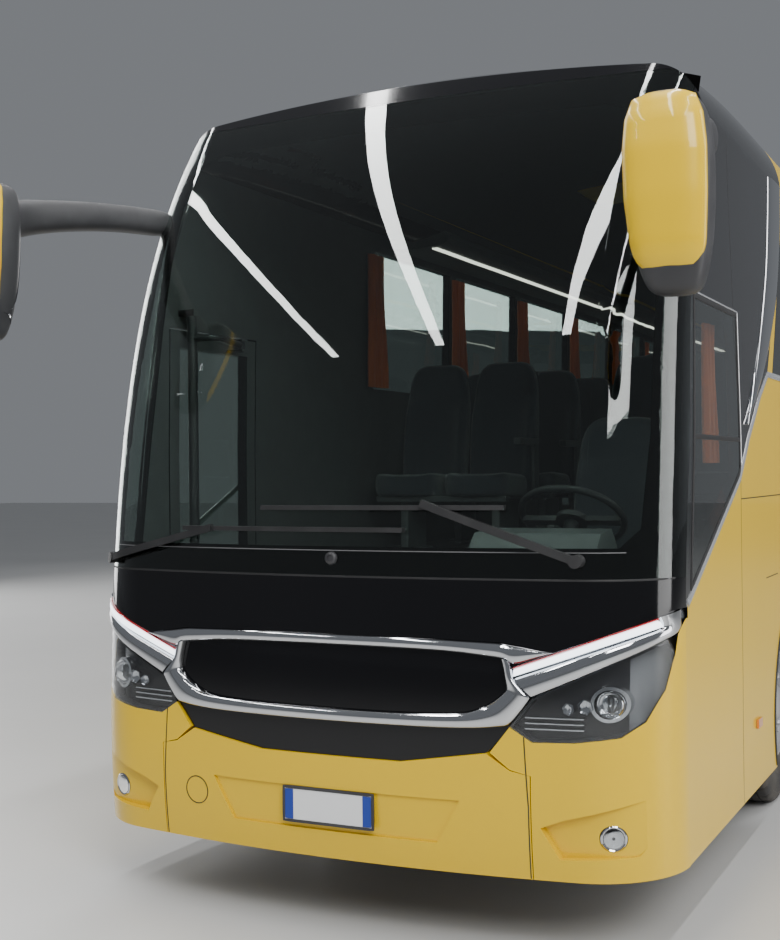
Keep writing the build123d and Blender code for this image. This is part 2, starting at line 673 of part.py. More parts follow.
# Doors: a leaf that stays parallel to the side, carried by two cranked arms on a post.
# Each arm ends in a boss between two lugs of the leaf, on the leaf's pin.
for name, front, top, sill, head, upper_arm, post_top in DOORS:
    rear = front + DOOR_WIDTH
    window = block(-WIDTH, 0, front + DOOR_STILE, rear - DOOR_STILE, sill, head)
    hinge_y = front + POST_BEHIND + ARM_REACH
    with BuildPart() as leaf:
        add(WALL_SHELL)
        add(block(-WIDTH, 0, front + GAP, rear - GAP, DOOR_SILL, top - GAP), mode=Mode.INTERSECT)
        add(window, mode=Mode.SUBTRACT)
        for height in (LOWER_ARM, upper_arm):
            with BuildSketch(Plane.XY.offset(height - BOSS_HALF - LUG_THICK)):
                with Locations((POST_X, back(hinge_y))):
                    Circle(PIN_R)
            extrude(amount=2 * (BOSS_HALF + LUG_THICK))
            for low in (height - BOSS_HALF - LUG_GAP - LUG_THICK, height + BOSS_HALF + LUG_GAP):
                add(block(LUG_ROOT, POST_X + BOSS_R, hinge_y - BOSS_R, hinge_y + BOSS_R,
                          low, low + LUG_THICK))
    save(leaf.part, name)
    with BuildPart() as door_glass:
        add(GLASS_SHELL)
        add(window, mode=Mode.INTERSECT)
    save(door_glass.part, name + "_glass")
    with BuildPart() as arm:
        with BuildSketch(Plane.XY.offset(STEP_LOW + LUG_GAP)):
            with Locations((POST_X, back(front + POST_BEHIND))):
                Circle(POST_R)
        extrude(amount=post_top - STEP_LOW - 2 * LUG_GAP)
        for height in (LOWER_ARM, upper_arm):
            with BuildLine():
                crank = FilletPolyline((POST_X, back(front + POST_BEHIND), height),
                                       (POST_X + ARM_CROOK, back(front + POST_BEHIND), height),
                                       (POST_X, back(hinge_y), height), radius=ARM_BEND)
            with BuildSketch(Plane(origin=crank @ 0, z_dir=crank % 0)):
                Circle(ARM_R)
            sweep()
            with BuildSketch(Plane.XY.offset(height - BOSS_HALF)):
                with Locations((POST_X, back(hinge_y))):
                    Circle(BOSS_R)
            extrude(amount=2 * BOSS_HALF)
            with BuildSketch(Plane.XY.offset(height - BOSS_HALF)):
                with Locations((POST_X, back(hinge_y))):
                    Circle(PIN_R + RUNNING)
            extrude(amount=2 * BOSS_HALF, mode=Mode.SUBTRACT)
    save(arm.part, name + "_arm")

# Floors: passenger deck, riser and lower cab deck, cut to the inner form
RISER_AT = 1950
FLOOR_END = LENGTH - WALL - 50
RISER_THICK = 40
STAIR_WIDTH = 760
FRONT_STAIR = (DOOR_FRONT - 20, DOOR_FRONT + DOOR_WIDTH + 20)
MID_STAIR = (MID_DOOR_FRONT - 20, MID_DOOR_FRONT + DOOR_WIDTH + 20)
STAIR_IN = -(WIDTH / 2 - WALL - STAIR_WIDTH)

with BuildPart() as cabin_floor:
    add(block(-WIDTH, WIDTH, RISER_AT, FLOOR_END, CABIN_FLOOR - FLOOR_THICK, CABIN_FLOOR))
    add(block(-WIDTH, WIDTH, RISER_AT, RISER_AT + RISER_THICK, CAB_FLOOR - FLOOR_THICK, CABIN_FLOOR))
    add(block(-WIDTH, WIDTH, 0, RISER_AT + RISER_THICK, CAB_FLOOR - FLOOR_THICK, CAB_FLOOR))
    add(INNER, mode=Mode.INTERSECT)
    add(block(-WIDTH, STAIR_IN, *FRONT_STAIR, 0, CABIN_FLOOR), mode=Mode.SUBTRACT)
    add(block(-WIDTH, STAIR_IN, *MID_STAIR, 0, CABIN_FLOOR), mode=Mode.SUBTRACT)
save(cabin_floor.part, "cabin_floor")


def stairs(front, rear, low, high, count):
    """A flight of solid steps rising inwards from a right-hand door."""
    rise = (high - low) / count
    run = STAIR_WIDTH / (count + 1)
    outer = GAP - (WIDTH / 2 - WALL)
    with BuildPart() as flight:
        for step in range(count + 1):
            add(block(outer + step * run, STAIR_IN, front, rear,
                      low - 40 + step * rise, low + step * rise))
            if step:
                add(block(outer + step * run, outer + step * run + 30, front, rear,
                          low - 40 + (step - 1) * rise, low + step * rise))
        add(INNER, mode=Mode.INTERSECT)
    return flight.part


with BuildPart() as entrance_steps:
    add(stairs(*FRONT_STAIR, STEP_LOW, CAB_FLOOR, 2))
    add(stairs(*MID_STAIR, STEP_LOW, CABIN_FLOOR, 4))
save(entrance_steps.part, "entrance_steps")

# Luggage hold between the axles: floor and two bulkheads, clear of the middle stairs
BULKHEAD = 40
HOLD_HALF = WIDTH / 2 - WALL - GAP
with BuildPart() as luggage_hold:
    add(block(-HOLD_HALF, HOLD_HALF, HOLD_FRONT, HOLD_REAR, HOLD_FLOOR - 50, HOLD_FLOOR))
    for front in (HOLD_FRONT, HOLD_REAR - BULKHEAD):
        add(block(-WIDTH, WIDTH, front, front + BULKHEAD, HOLD_FLOOR - 50, CABIN_FLOOR - FLOOR_THICK))
    add(INNER, mode=Mode.INTERSECT)
    add(block(-WIDTH, STAIR_IN + 10, MID_STAIR[0] - 10, MID_STAIR[1] + 10, 0, CABIN_FLOOR),
        mode=Mode.SUBTRACT)
save(luggage_hold.part, "luggage_hold")

# Wheel housings, open below and outwards
with BuildPart() as wheel_housings:
    add(arches(LINER_R + LINER_THICK, LINER_IN))
    add(arches(LINER_R, LINER_IN + LINER_THICK), mode=Mode.SUBTRACT)
    add(block(-WIDTH, WIDTH, 0, LENGTH, TYRE_R - 60, CABIN_FLOOR), mode=Mode.INTERSECT)
    add(INNER, mode=Mode.INTERSECT)
    for axle, half, top in ((FRONT_OVERHANG, 80, 570), (REAR_AXLE, 120, TYRE_R + 120)):
        add(block(-LINER_IN - 60, LINER_IN + 60, axle - half, axle + half, 0, top), mode=Mode.SUBTRACT)
save(wheel_housings.part, "wheel_housings")

# Underframe: pairs of rails ahead of the hold and behind it, and the cross members between them
RAIL_X, RAIL_W = 400, 80
FRONT_RAIL = (450, HOLD_FRONT, 640, 800)
REAR_RAIL = (HOLD_REAR, LENGTH - 450, 720, 880)
CROSS_W = 80
FRONT_CROSS = (520, 1500, 2100, 3400)
REAR_CROSS = (8300, 9750, 11650)

with BuildPart() as underframe:
    for front, rear, low, high in (FRONT_RAIL, REAR_RAIL):
        for side in (-1, 1):
            add(block(side * RAIL_X - RAIL_W / 2, side * RAIL_X + RAIL_W / 2, front, rear, low, high))
save(underframe.part, "underframe")

with BuildPart() as cross_members:
    cross_half = RAIL_X - RAIL_W / 2
    for places, (front, rear, low, high) in ((FRONT_CROSS, FRONT_RAIL), (REAR_CROSS, REAR_RAIL)):
        for at in places:
            add(block(-cross_half, cross_half, at, at + CROSS_W, low, high))
save(cross_members.part, "cross_members")

# Front axle: a beam between the king pins, with air springs up to the rails
BEAM_Z = 455
SPRING_R = 90
EYE_LOW, EYE_HIGH, EYE_R = 440, 604, 52
with BuildPart() as front_axle:
    beam_half = KING_PIN_X - EYE_R + 8
    add(block(-beam_half, beam_half, FRONT_OVERHANG - 55, FRONT_OVERHANG + 55, BEAM_Z - 15, BEAM_Z + 95))
    for side in (-1, 1):
        with BuildSketch(Plane.XY.offset(EYE_LOW)):
            with Locations((side * KING_PIN_X, back(FRONT_OVERHANG))):
                Circle(EYE_R)
        extrude(amount=EYE_HIGH - EYE_LOW)
        with BuildSketch(Plane.XY.offset(BEAM_Z + 90)):
            with Locations((side * RAIL_X, back(FRONT_OVERHANG))):
                Circle(SPRING_R)
        extrude(amount=FRONT_RAIL[2] - BEAM_Z - 90)
        with BuildSketch(Plane.XY.offset(EYE_LOW)):
            with Locations((side * KING_PIN_X, back(FRONT_OVERHANG))):
                Circle(KING_PIN_R + RUNNING)
        extrude(amount=EYE_HIGH - EYE_LOW, mode=Mode.SUBTRACT)
save(front_axle.part, "front_axle")

# Steering knuckles: a fork on the king pin and a stub axle
FORK = 50
FORK_GAP = 1
UPRIGHT_IN, UPRIGHT_OUT = 942, 985
STUB_END = 1150


def knuckle(side):
    """One knuckle with its king pin, fork and stub axle."""
    pin_y = back(FRONT_OVERHANG)
    with BuildPart() as body:
        with BuildSketch(Plane.XY.offset(EYE_LOW - FORK)):
            with Locations((side * KING_PIN_X, pin_y)):
                Circle(KING_PIN_R)
        extrude(amount=EYE_HIGH - EYE_LOW + 2 * FORK)
        for low in (EYE_LOW - FORK - FORK_GAP, EYE_HIGH + FORK_GAP):
            with BuildSketch(Plane.XY.offset(low)):
                with Locations((side * KING_PIN_X, pin_y)):
                    Circle(EYE_R)
                with Locations((side * (KING_PIN_X + UPRIGHT_OUT) / 2, pin_y)):
                    Rectangle(UPRIGHT_OUT - KING_PIN_X, 2 * EYE_R)
            extrude(amount=FORK)
        add(block(side * UPRIGHT_IN, side * UPRIGHT_OUT, FRONT_OVERHANG - 80, FRONT_OVERHANG + 80,
                  EYE_LOW - FORK - FORK_GAP, EYE_HIGH + FORK + FORK_GAP))
        with BuildSketch(Plane.YZ.offset(side * UPRIGHT_IN)):
            with Locations((pin_y, TYRE_R)):
                Circle(STUB_R)
        extrude(amount=side * (STUB_END - UPRIGHT_IN))
    return body.part


save(knuckle(1), "knuckle_left")
save(knuckle(-1), "knuckle_right")


def revolved(points, place_x):
    """A wheel piece turned from (across, radius) points about the axle line."""
    centre_y = place_x[1]
    with BuildPart() as turned:
        with BuildSketch(Plane(origin=(place_x[0], centre_y, TYRE_R), x_dir=(1, 0, 0), z_dir=(0, -1, 0))):
            with BuildLine():
                Polyline(*points, close=True)
            make_face()
        revolve(axis=Axis((0, centre_y, TYRE_R), (1, 0, 0)))
    return turned.part


# Tyre and rim sections: (across from the wheel's middle plane, radius)
HALF_W = TYRE_W / 2
TYRE_SECTION = [
    (-HALF_W + 32, RIM_R), (-HALF_W + 6, RIM_R + 60), (-HALF_W, RIM_R + 130), (-HALF_W + 10, TYRE_R - 45),
    (-HALF_W + 28, TYRE_R - 8), (-60, TYRE_R), (60, TYRE_R), (HALF_W - 28, TYRE_R - 8),
    (HALF_W - 10, TYRE_R - 45), (HALF_W, RIM_R + 130), (HALF_W - 6, RIM_R + 60), (HALF_W - 32, RIM_R),
]
DISC = 14


def rim_section(hub_out, disc_at, bore):
    """A rim with well, disc and hub flange; disc_at is the hub face's place across."""
    edge = HALF_W - 20
    return [
        (-edge, RIM_R), (-edge, RIM_R - 18), (disc_at - 60, RIM_R - 40), (disc_at - 30, 200),
        (disc_at - DISC, 175), (disc_at - DISC, bore + 45), (disc_at - 70, bore + 45),
        (disc_at - 70, bore), (hub_out, bore), (hub_out, 100), (disc_at, 105), (disc_at, 175),
        (disc_at - 12, 210), (disc_at - 38, RIM_R - 22), (edge, RIM_R - 18), (edge, RIM_R),
    ]


HAND_HOLES, HOLE_R, HOLES_AT = 10, 24, 221


def pierced(rim, centre_y):
    """A rim with its ring of hand holes."""
    with BuildPart() as drilled:
        add(rim)
        with BuildSketch(Plane.YZ.offset(-WIDTH)):
            with Locations((centre_y, TYRE_R)):
                with PolarLocations(HOLES_AT, HAND_HOLES):
                    Circle(HOLE_R)
        extrude(amount=2 * WIDTH, mode=Mode.SUBTRACT)
    return drilled.part


for label, side in (("left", 1), ("right", -1)):
    place = (side * WHEEL_X, back(FRONT_OVERHANG))
    section = rim_section(HALF_W - 25, 100, STUB_R + RUNNING)
    save(revolved(TYRE_SECTION, place), f"front_tyre_{label}")
    save(pierced(revolved([(side * x, r) for x, r in section], place), place[1]), f"front_rim_{label}")

# Drive wheels: twins on each side, turning as one
DRIVE_SPINDLE_R = 62
for label, side in (("left", 1), ("right", -1)):
    outer = (side * TWIN_X, back(REAR_AXLE))
    inner = (side * (TWIN_X - TWIN_PITCH), back(REAR_AXLE))
    face = TWIN_PITCH / 2
    outer_section = [(-x, r) for x, r in rim_section(face, face, DRIVE_SPINDLE_R + RUNNING)]
    inner_section = rim_section(face, face, DRIVE_SPINDLE_R + RUNNING)
    with BuildPart() as drive_tyres:
        add(revolved(TYRE_SECTION, outer))
        add(revolved(TYRE_SECTION, inner))
    save(drive_tyres.part, f"drive_tyres_{label}")
    with BuildPart() as drive_rims:
        add(revolved([(side * x, r) for x, r in outer_section], outer))
        add(revolved([(side * x, r) for x, r in inner_section], inner))
    save(pierced(drive_rims.part, back(REAR_AXLE)), f"drive_rims_{label}")

# Drive axle: tube, differential and air springs
with BuildPart() as drive_axle:
    with BuildSketch(Plane.YZ.offset(-TWIN_X - 20)):
        with Locations((back(REAR_AXLE), TYRE_R)):
            Circle(DRIVE_SPINDLE_R)
    extrude(amount=2 * (TWIN_X + 20))
    with BuildSketch(Plane.YZ.offset(-560)):
        with Locations((back(REAR_AXLE), TYRE_R)):
            Circle(95)
    extrude(amount=1120)
    with BuildSketch(Plane.YZ.offset(-150)):
        with Locations((back(REAR_AXLE), TYRE_R)):
            Circle(210)
    extrude(amount=300)
    for side in (-1, 1):
        with BuildSketch(Plane.XY.offset(TYRE_R)):
            with Locations((side * RAIL_X, back(REAR_AXLE))):
                Circle(SPRING_R)
        extrude(amount=REAR_RAIL[2] - TYRE_R)
save(drive_axle.part, "drive_axle")

# Engine, one block between the rear rails
ENGINE = (10050, 11600, 420, 1150)
with BuildPart() as engine:
    add(block(-cross_half, cross_half, *ENGINE))
save(engine.part, "engine")

# Seats: pairs joined by their base, backs with round tops
BACK_THICK = 95
CUSHION_TOP = CABIN_FLOOR + 450
BACK_TOP = CABIN_FLOOR + 1130
SEAT_GAP = 14


def seat_pair(inner_x, side, row_y):
    """Two seats side by side, from the aisle towards the wall."""
    with BuildPart() as pair:
        for place in range(2):
            near = inner_x + place * (SEAT_WIDTH + SEAT_GAP)
            with BuildSketch(Plane.YZ.offset(side * near)):
                with BuildLine():
                    Polyline(
                        (back(row_y), CUSHION_TOP - 130), (back(row_y), CUSHION_TOP),
                        (back(row_y + 430), CUSHION_TOP - 25), (back(row_y + 560), BACK_TOP),
                        (back(row_y + 560 + BACK_THICK), BACK_TOP), (back(row_y + 540), CUSHION_TOP - 160),
                        close=True)
                make_face()
            extrude(amount=side * SEAT_WIDTH)
        add(block(side * (inner_x + 60), side * (inner_x + 2 * SEAT_WIDTH - 60), row_y + 120, row_y + 420,
                  CABIN_FLOOR, CUSHION_TOP - 135))
    return pair.part


with BuildPart() as seats:
    for side in (-1, 1):
        for row in range(SEAT_ROWS):
            row_y = SEAT_FIRST + row * SEAT_PITCH
            beside_stairs = MID_STAIR[0] - 700 < row_y < MID_STAIR[1]
            if side > 0 or not beside_stairs:
                add(seat_pair(AISLE_HALF, side, row_y))
save(seats.part, "seats")

# Driver's place: seat, dashboard and steering wheel
DRIVER_X = 620
BINNACLE_HALF = 270
with BuildPart() as driver_seat:
    add(block(DRIVER_X - 250, DRIVER_X + 250, 1330, 1810, CAB_FLOOR + 330, CAB_FLOOR + 450))
    add(block(DRIVER_X - 150, DRIVER_X + 150, 1400, 1740, CAB_FLOOR, CAB_FLOOR + 335))
    with BuildSketch(Plane.YZ.offset(DRIVER_X - 240)):
        with BuildLine():
            Polyline((back(1740), CAB_FLOOR + 400), (back(1860), CAB_FLOOR + 1180),
                     (back(1935), CAB_FLOOR + 1180), (back(1850), CAB_FLOOR + 340), close=True)
        make_face()
    extrude(amount=480)
save(driver_seat.part, "driver_seat")

with BuildPart() as dashboard:
    with BuildSketch(Plane.YZ):
        with BuildLine():
            Polyline((back(150), CAB_FLOOR), (back(150), 1380), (back(560), 1440), (back(900), 1330),
                     (back(900), 1230), (back(700), CAB_FLOOR), close=True)
        make_face()
    extrude(amount=WIDTH, both=True)
    with BuildSketch(Plane.YZ.offset(DRIVER_X - BINNACLE_HALF)):
        with BuildLine():
            Polyline((back(500), 1400), (back(640), 1520), (back(790), 1535), (back(898), 1420),
                     (back(898), 1300), close=True)
        make_face()
    extrude(amount=2 * BINNACLE_HALF)
    add(INNER, mode=Mode.INTERSECT)
    add(block(-WIDTH, STAIR_IN, 560, 2000, 0, 3000), mode=Mode.SUBTRACT)
save(dashboard.part, "dashboard")

WHEEL_TILT = 35
WHEEL_PLACE = Plane(origin=(DRIVER_X, back(1110), 1570),
                    x_dir=(1, 0, 0), z_dir=(0, sin(radians(WHEEL_TILT)), cos(radians(WHEEL_TILT))))
with BuildPart() as steering_wheel:
    with BuildSketch(Plane(origin=WHEEL_PLACE.origin, x_dir=(1, 0, 0), z_dir=WHEEL_PLACE.y_dir)):
        with Locations((225, 0)):
            Circle(16)
    revolve(axis=Axis(WHEEL_PLACE.origin, WHEEL_PLACE.z_dir))
    with BuildSketch(WHEEL_PLACE.offset(-30)):
        Circle(70)
        Rectangle(440, 40)
    extrude(amount=25)
    with BuildSketch(WHEEL_PLACE.offset(-420)):
        Circle(32)
    extrude(amount=392)
    add(dashboard.part, mode=Mode.SUBTRACT)
save(steering_wheel.part, "steering_wheel")

# Mirrors: a horn from each front corner carries a tapering head ahead of the body.
# columns: height, middle across, half width, half depth, middle behind the front
HEAD_ROWS = [
    (2330, 1428, 95, 78, -262),
    (2480, 1424, 128, 104, -266),
    (2630, 1420, 140, 116, -270),
    (2780, 1416, 142, 118, -266),
    (2930, 1404, 104, 92, -242),
]
HEAD_ROUND = 0.62
# columns: across, behind the front, height, half width, half height
HORN_ROWS = [
    (1090, 780, 2925, 70, 62),
    (1290, 420, 2930, 62, 66),
    (1440, 60, 2890, 62, 84),
    (1420, -280, 2820, 74, 90),
]
# The painted cap's outline in front view, and how far back it reaches
CAP_LINE = [(1300, 2850), (1296, 2680), (1312, 2420), (1330, 2392), (1490, 2412), (1520, 2450), (1545, 2850)]
CAP_CROWN = (1424, 2960)
CAP_BACK = -300


def head_section(row):
    """A rounded rectangle round a mirror head at one height."""
    height, across, half_wide, half_deep, behind = row
    with BuildSketch(Plane.XY.offset(height)) as section:
        with Locations((across, back(behind))):
            RectangleRounded(2 * half_wide, 2 * half_deep, HEAD_ROUND * half_deep)
    return section.sketch.face()


def horn_section(index):
    """An ellipse across a mirror horn, square to its run in plan."""
    across, behind, height, half_wide, half_high = HORN_ROWS[index]
    before = HORN_ROWS[max(index - 1, 0)]
    after = HORN_ROWS[min(index + 1, len(HORN_ROWS) - 1)]
    along = Vector(after[0] - before[0], after[1] - before[1], 0)
    place = Plane(origin=(across, back(behind), height), x_dir=along.cross(Vector(0, 0, 1)), z_dir=along)
    with BuildSketch(place) as section:
        Ellipse(half_wide, half_high)
    return section.sketch.face()


with BuildPart() as head_form:
    loft([head_section(row) for row in HEAD_ROWS])
MIRROR_HEAD = head_form.part.moved(
    Location((0, back(-MIRROR_REACH) - head_form.part.bounding_box().min.Y, 0)))

with BuildPart() as cap_place:
    with BuildSketch(Plane.XZ.offset(-back(CAP_BACK))):
        with BuildLine():
            lower = Polyline(*CAP_LINE)
            ThreePointArc(lower @ 1, CAP_CROWN, lower @ 0)
        make_face()
    extrude(amount=WALL * 5)

with BuildPart() as mirrors:
    with BuildPart(mode=Mode.PRIVATE) as left_mirror:
        loft([horn_section(index) for index in range(len(HORN_ROWS))])
        add(MIRROR_HEAD)
        add(cap_place.part, mode=Mode.SUBTRACT)
        add(NOSE_OUTER, mode=Mode.SUBTRACT)
    add(left_mirror.part)
    mirror(about=Plane.YZ)
save(mirrors.part, "mirrors")

with BuildPart() as mirror_caps:
    with BuildPart(mode=Mode.PRIVATE) as left_cap:
        add(MIRROR_HEAD)
        add(cap_place.part, mode=Mode.INTERSECT)
    add(left_cap.part)
    mirror(about=Plane.YZ)
save(mirror_caps.part, "mirror_caps")

# Number plates, blank, each on its flat holder let into the bumper
with BuildPart() as number_plates:
    add(FRONT_PLATE)
    add(REAR_PLATE)
save(number_plates.part, "number_plates")

# Wipers, lying over the lower glass: arms and blades as thin layers ahead of the screen.
# columns: pivot x, pivot z, elbow x, elbow z, blade left x, blade right x, blade z
WIPERS = [
    (-1150, 1420, -553, 1559, -708, 305, 1556),
    (963, 1447, 378, 1657, -318, 694, 1640),
]
ARM_HALF, BLADE_HALF = 14, 9
AHEAD_ARM = NOSE_OUTER.moved(Location((0, -44, 0))) - NOSE_OUTER.moved(Location((0, -18, 0)))
AHEAD_BLADE = NOSE_OUTER.moved(Location((0, -30, 0))) - NOSE_OUTER


def strip_region(x0, z0, x1, z1, half):
    """A straight strip in front view with a width of twice half, through the nose."""
    long = hypot(x1 - x0, z1 - z0)
    side_x, side_z = (z0 - z1) / long * half, (x1 - x0) / long * half
    with BuildPart() as strip:
        with BuildSketch(Plane.XZ.offset(-back(-200))):
            with BuildLine():
                Polyline((x0 + side_x, z0 + side_z), (x1 + side_x, z1 + side_z),
                         (x1 - side_x, z1 - side_z), (x0 - side_x, z0 - side_z), close=True)
            make_face()
        extrude(amount=-900)
    return strip.part


with BuildPart() as wipers:
    for pivot_x, pivot_z, elbow_x, elbow_z, left, right, blade_z in WIPERS:
        for layer, line, half in ((AHEAD_ARM, (pivot_x, pivot_z, elbow_x, elbow_z), ARM_HALF),
                                  (AHEAD_BLADE, (left, blade_z, right, blade_z), BLADE_HALF)):
            with BuildPart(mode=Mode.PRIVATE) as piece:
                add(layer)
                add(strip_region(*line, half), mode=Mode.INTERSECT)
            add(piece.part)
        with BuildPart(mode=Mode.PRIVATE) as pivot:
            with BuildSketch(Plane.XZ.offset(-back(-200))):
                with Locations((pivot_x, pivot_z)):
                    Circle(24)
            extrude(amount=-900)
            add(NOSE_OUTER.moved(Location((0, -48, 0))), mode=Mode.INTERSECT)
            add(NOSE_OUTER, mode=Mode.SUBTRACT)
        add(pivot.part)
save(wipers.part, "wipers")
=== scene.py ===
# %% [markdown]
# A high-deck touring coach, dressed around its CAD frame.
# The CAD model already holds every panel, wheel and door at its real size. Here the coach gets
# its finishes and the things that are too fine for CAD: trims, seams, lamps, tread and cloth.
# Everything is measured in metres. The coach faces -Y, +X is the driver's side and +Z is up.

# %% Load the frame
import json
import math

import bmesh
import bpy
import numpy as np
from mathutils import Matrix, Vector
from mathutils.bvhtree import BVHTree


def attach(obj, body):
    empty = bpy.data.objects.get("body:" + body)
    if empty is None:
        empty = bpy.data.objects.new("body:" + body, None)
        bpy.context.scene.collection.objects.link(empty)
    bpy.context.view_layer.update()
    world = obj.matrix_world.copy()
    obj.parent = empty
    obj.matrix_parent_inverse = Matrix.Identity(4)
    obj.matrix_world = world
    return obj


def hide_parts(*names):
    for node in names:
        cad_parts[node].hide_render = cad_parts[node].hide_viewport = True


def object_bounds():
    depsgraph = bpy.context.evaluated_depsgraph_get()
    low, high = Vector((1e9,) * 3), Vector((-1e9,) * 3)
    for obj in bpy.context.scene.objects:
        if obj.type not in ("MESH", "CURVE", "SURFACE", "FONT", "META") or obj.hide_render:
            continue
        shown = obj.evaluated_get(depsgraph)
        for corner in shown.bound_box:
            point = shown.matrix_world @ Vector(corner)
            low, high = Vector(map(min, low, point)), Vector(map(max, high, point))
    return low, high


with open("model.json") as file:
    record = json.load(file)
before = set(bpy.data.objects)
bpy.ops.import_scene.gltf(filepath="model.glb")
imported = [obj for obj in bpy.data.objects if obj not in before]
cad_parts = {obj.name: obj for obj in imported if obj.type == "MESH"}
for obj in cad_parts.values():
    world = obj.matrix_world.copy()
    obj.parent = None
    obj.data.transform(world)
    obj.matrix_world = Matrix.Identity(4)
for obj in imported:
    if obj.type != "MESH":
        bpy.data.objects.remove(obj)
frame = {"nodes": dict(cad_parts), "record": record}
cad_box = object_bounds()
nodes = frame["nodes"]

# %% [markdown]
# Surfaces on a real coach are never one flat value. Paint has a faint orange peel and drifts a
# little in tone, road film settles low on the body, and moulded plastic has a grain. Each such
# effect serves several finishes, so each is one node group, built once with named sockets.
# The groups read object coordinates, so nothing slides when the camera or a door moves.


# %% Node groups for the effects
def new_group(title, inputs, outputs):
    """A shader node group with its sockets; returns the group, its input and its output node."""
    group = bpy.data.node_groups.new(title, "ShaderNodeTree")
    for label, value in inputs:
        socket = group.interface.new_socket(label, in_out="INPUT", socket_type="NodeSocketFloat")
        socket.default_value = value
    for label in outputs:
        group.interface.new_socket(label, in_out="OUTPUT", socket_type="NodeSocketFloat")
    return group, group.nodes.new("NodeGroupInput"), group.nodes.new("NodeGroupOutput")


def add_node(tree, kind, **values):
    """A node with its properties set."""
    node = tree.nodes.new(kind)
    for label, value in values.items():
        setattr(node, label, value)
    return node


def feed(tree, value, socket):
    """Give a socket a number or a colour, or link another socket to it."""
    if isinstance(value, (int, float, tuple)):
        socket.default_value = value
    else:
        tree.links.new(value, socket)


def noise(tree, vector, scale, detail=2.0):
    """A noise texture on the given coordinates; scale is a number or a socket."""
    node = add_node(tree, "ShaderNodeTexNoise")
    node.inputs["Detail"].default_value = detail
    tree.links.new(vector, node.inputs["Vector"])
    feed(tree, scale, node.inputs["Scale"])
    return node.outputs["Fac"]


def remap(tree, value, low, high, to_low=0.0, to_high=1.0):
    """Map a value from one range to another; an end may be a number or a socket."""
    node = add_node(tree, "ShaderNodeMapRange")
    tree.links.new(value, node.inputs["Value"])
    for label, end in (("From Min", low), ("From Max", high), ("To Min", to_low), ("To Max", to_high)):
        feed(tree, end, node.inputs[label])
    return node.outputs["Result"]


def maths(tree, operation, a, b):
    """One math node on two numbers or sockets."""
    node = add_node(tree, "ShaderNodeMath", operation=operation)
    for place, value in enumerate((a, b)):
        feed(tree, value, node.inputs[place])
    return node.outputs["Value"]


def build_paint_depth():
    """Slow drift of tone over metres, and the fine ripple of sprayed paint."""
    group, given, result = new_group("Paint depth", [("Ripple scale", 260.0)], ["Tone", "Ripple"])
    where = add_node(group, "ShaderNodeTexCoord").outputs["Object"]
    tone = remap(group, noise(group, where, 0.7, 3.0), 0.32, 0.68)
    group.links.new(tone, result.inputs["Tone"])
    group.links.new(noise(group, where, given.outputs["Ripple scale"]), result.inputs["Ripple"])
    return group


def build_road_film():
    """Dust and dried spray that thin out with height."""
    group, given, result = new_group("Road film", [("Top", 0.9), ("Amount", 0.3)], ["Film"])
    where = add_node(group, "ShaderNodeTexCoord").outputs["Object"]
    split = add_node(group, "ShaderNodeSeparateXYZ")
    group.links.new(where, split.inputs["Vector"])
    low_down = remap(group, split.outputs["Z"], given.outputs["Top"], 0.0)
    patches = remap(group, noise(group, where, 5.0, 6.0), 0.3, 0.75)
    film = maths(group, "MULTIPLY", low_down, patches)
    group.links.new(maths(group, "MULTIPLY", film, given.outputs["Amount"]), result.inputs["Film"])
    return group


def build_moulded_grain():
    """The pebbled grain of moulded plastic and rubber, with a mask of rubbed patches."""
    group, given, result = new_group("Moulded grain", [("Grain scale", 900.0)], ["Grain", "Rubbed"])
    where = add_node(group, "ShaderNodeTexCoord").outputs["Object"]
    cells = add_node(group, "ShaderNodeTexVoronoi")
    group.links.new(where, cells.inputs["Vector"])
    group.links.new(given.outputs["Grain scale"], cells.inputs["Scale"])
    group.links.new(cells.outputs["Distance"], result.inputs["Grain"])
    group.links.new(remap(group, noise(group, where, 9.0, 5.0), 0.45, 0.7), result.inputs["Rubbed"])
    return group


def build_woven_cloth():
    """Crossing threads for seat plush and curtains."""
    group, given, result = new_group("Woven cloth", [("Thread scale", 500.0)], ["Weave", "Fade"])
    where = add_node(group, "ShaderNodeTexCoord").outputs["Object"]
    threads = []
    for direction in ("X", "Z"):
        wave = add_node(group, "ShaderNodeTexWave", bands_direction=direction)
        wave.inputs["Distortion"].default_value = 1.5
        group.links.new(where, wave.inputs["Vector"])
        group.links.new(given.outputs["Thread scale"], wave.inputs["Scale"])
        threads.append(wave.outputs["Fac"])
    group.links.new(maths(group, "MULTIPLY", *threads), result.inputs["Weave"])
    group.links.new(remap(group, noise(group, where, 3.0, 4.0), 0.3, 0.7), result.inputs["Fade"])
    return group


EFFECTS = {
    "paint": build_paint_depth(),
    "film": build_road_film(),
    "grain": build_moulded_grain(),
    "weave": build_woven_cloth(),
}
print("effect groups:", [group.name for group in EFFECTS.values()])

# %% [markdown]
# A finish is one Principled shader. Its even values go straight on the shader's own sockets.
# Only what changes over the surface comes from the groups: a tone that shifts the colour, a film
# that dusts it and dulls it, and a height that goes through a Bump node.


# %% Make the finishes
FILM_COLOUR = (0.21, 0.185, 0.15, 1.0)


def mix_colour(tree, mask, below, above):
    """Lay one colour over another where the mask is white; a colour is a value or a socket."""
    node = add_node(tree, "ShaderNodeMix", data_type="RGBA")
    tree.links.new(mask, node.inputs["Factor"])
    for label, colour in (("A", below), ("B", above)):
        feed(tree, colour, [s for s in node.inputs if s.name == label and s.type == "RGBA"][0])
    return [s for s in node.outputs if s.type == "RGBA"][0]


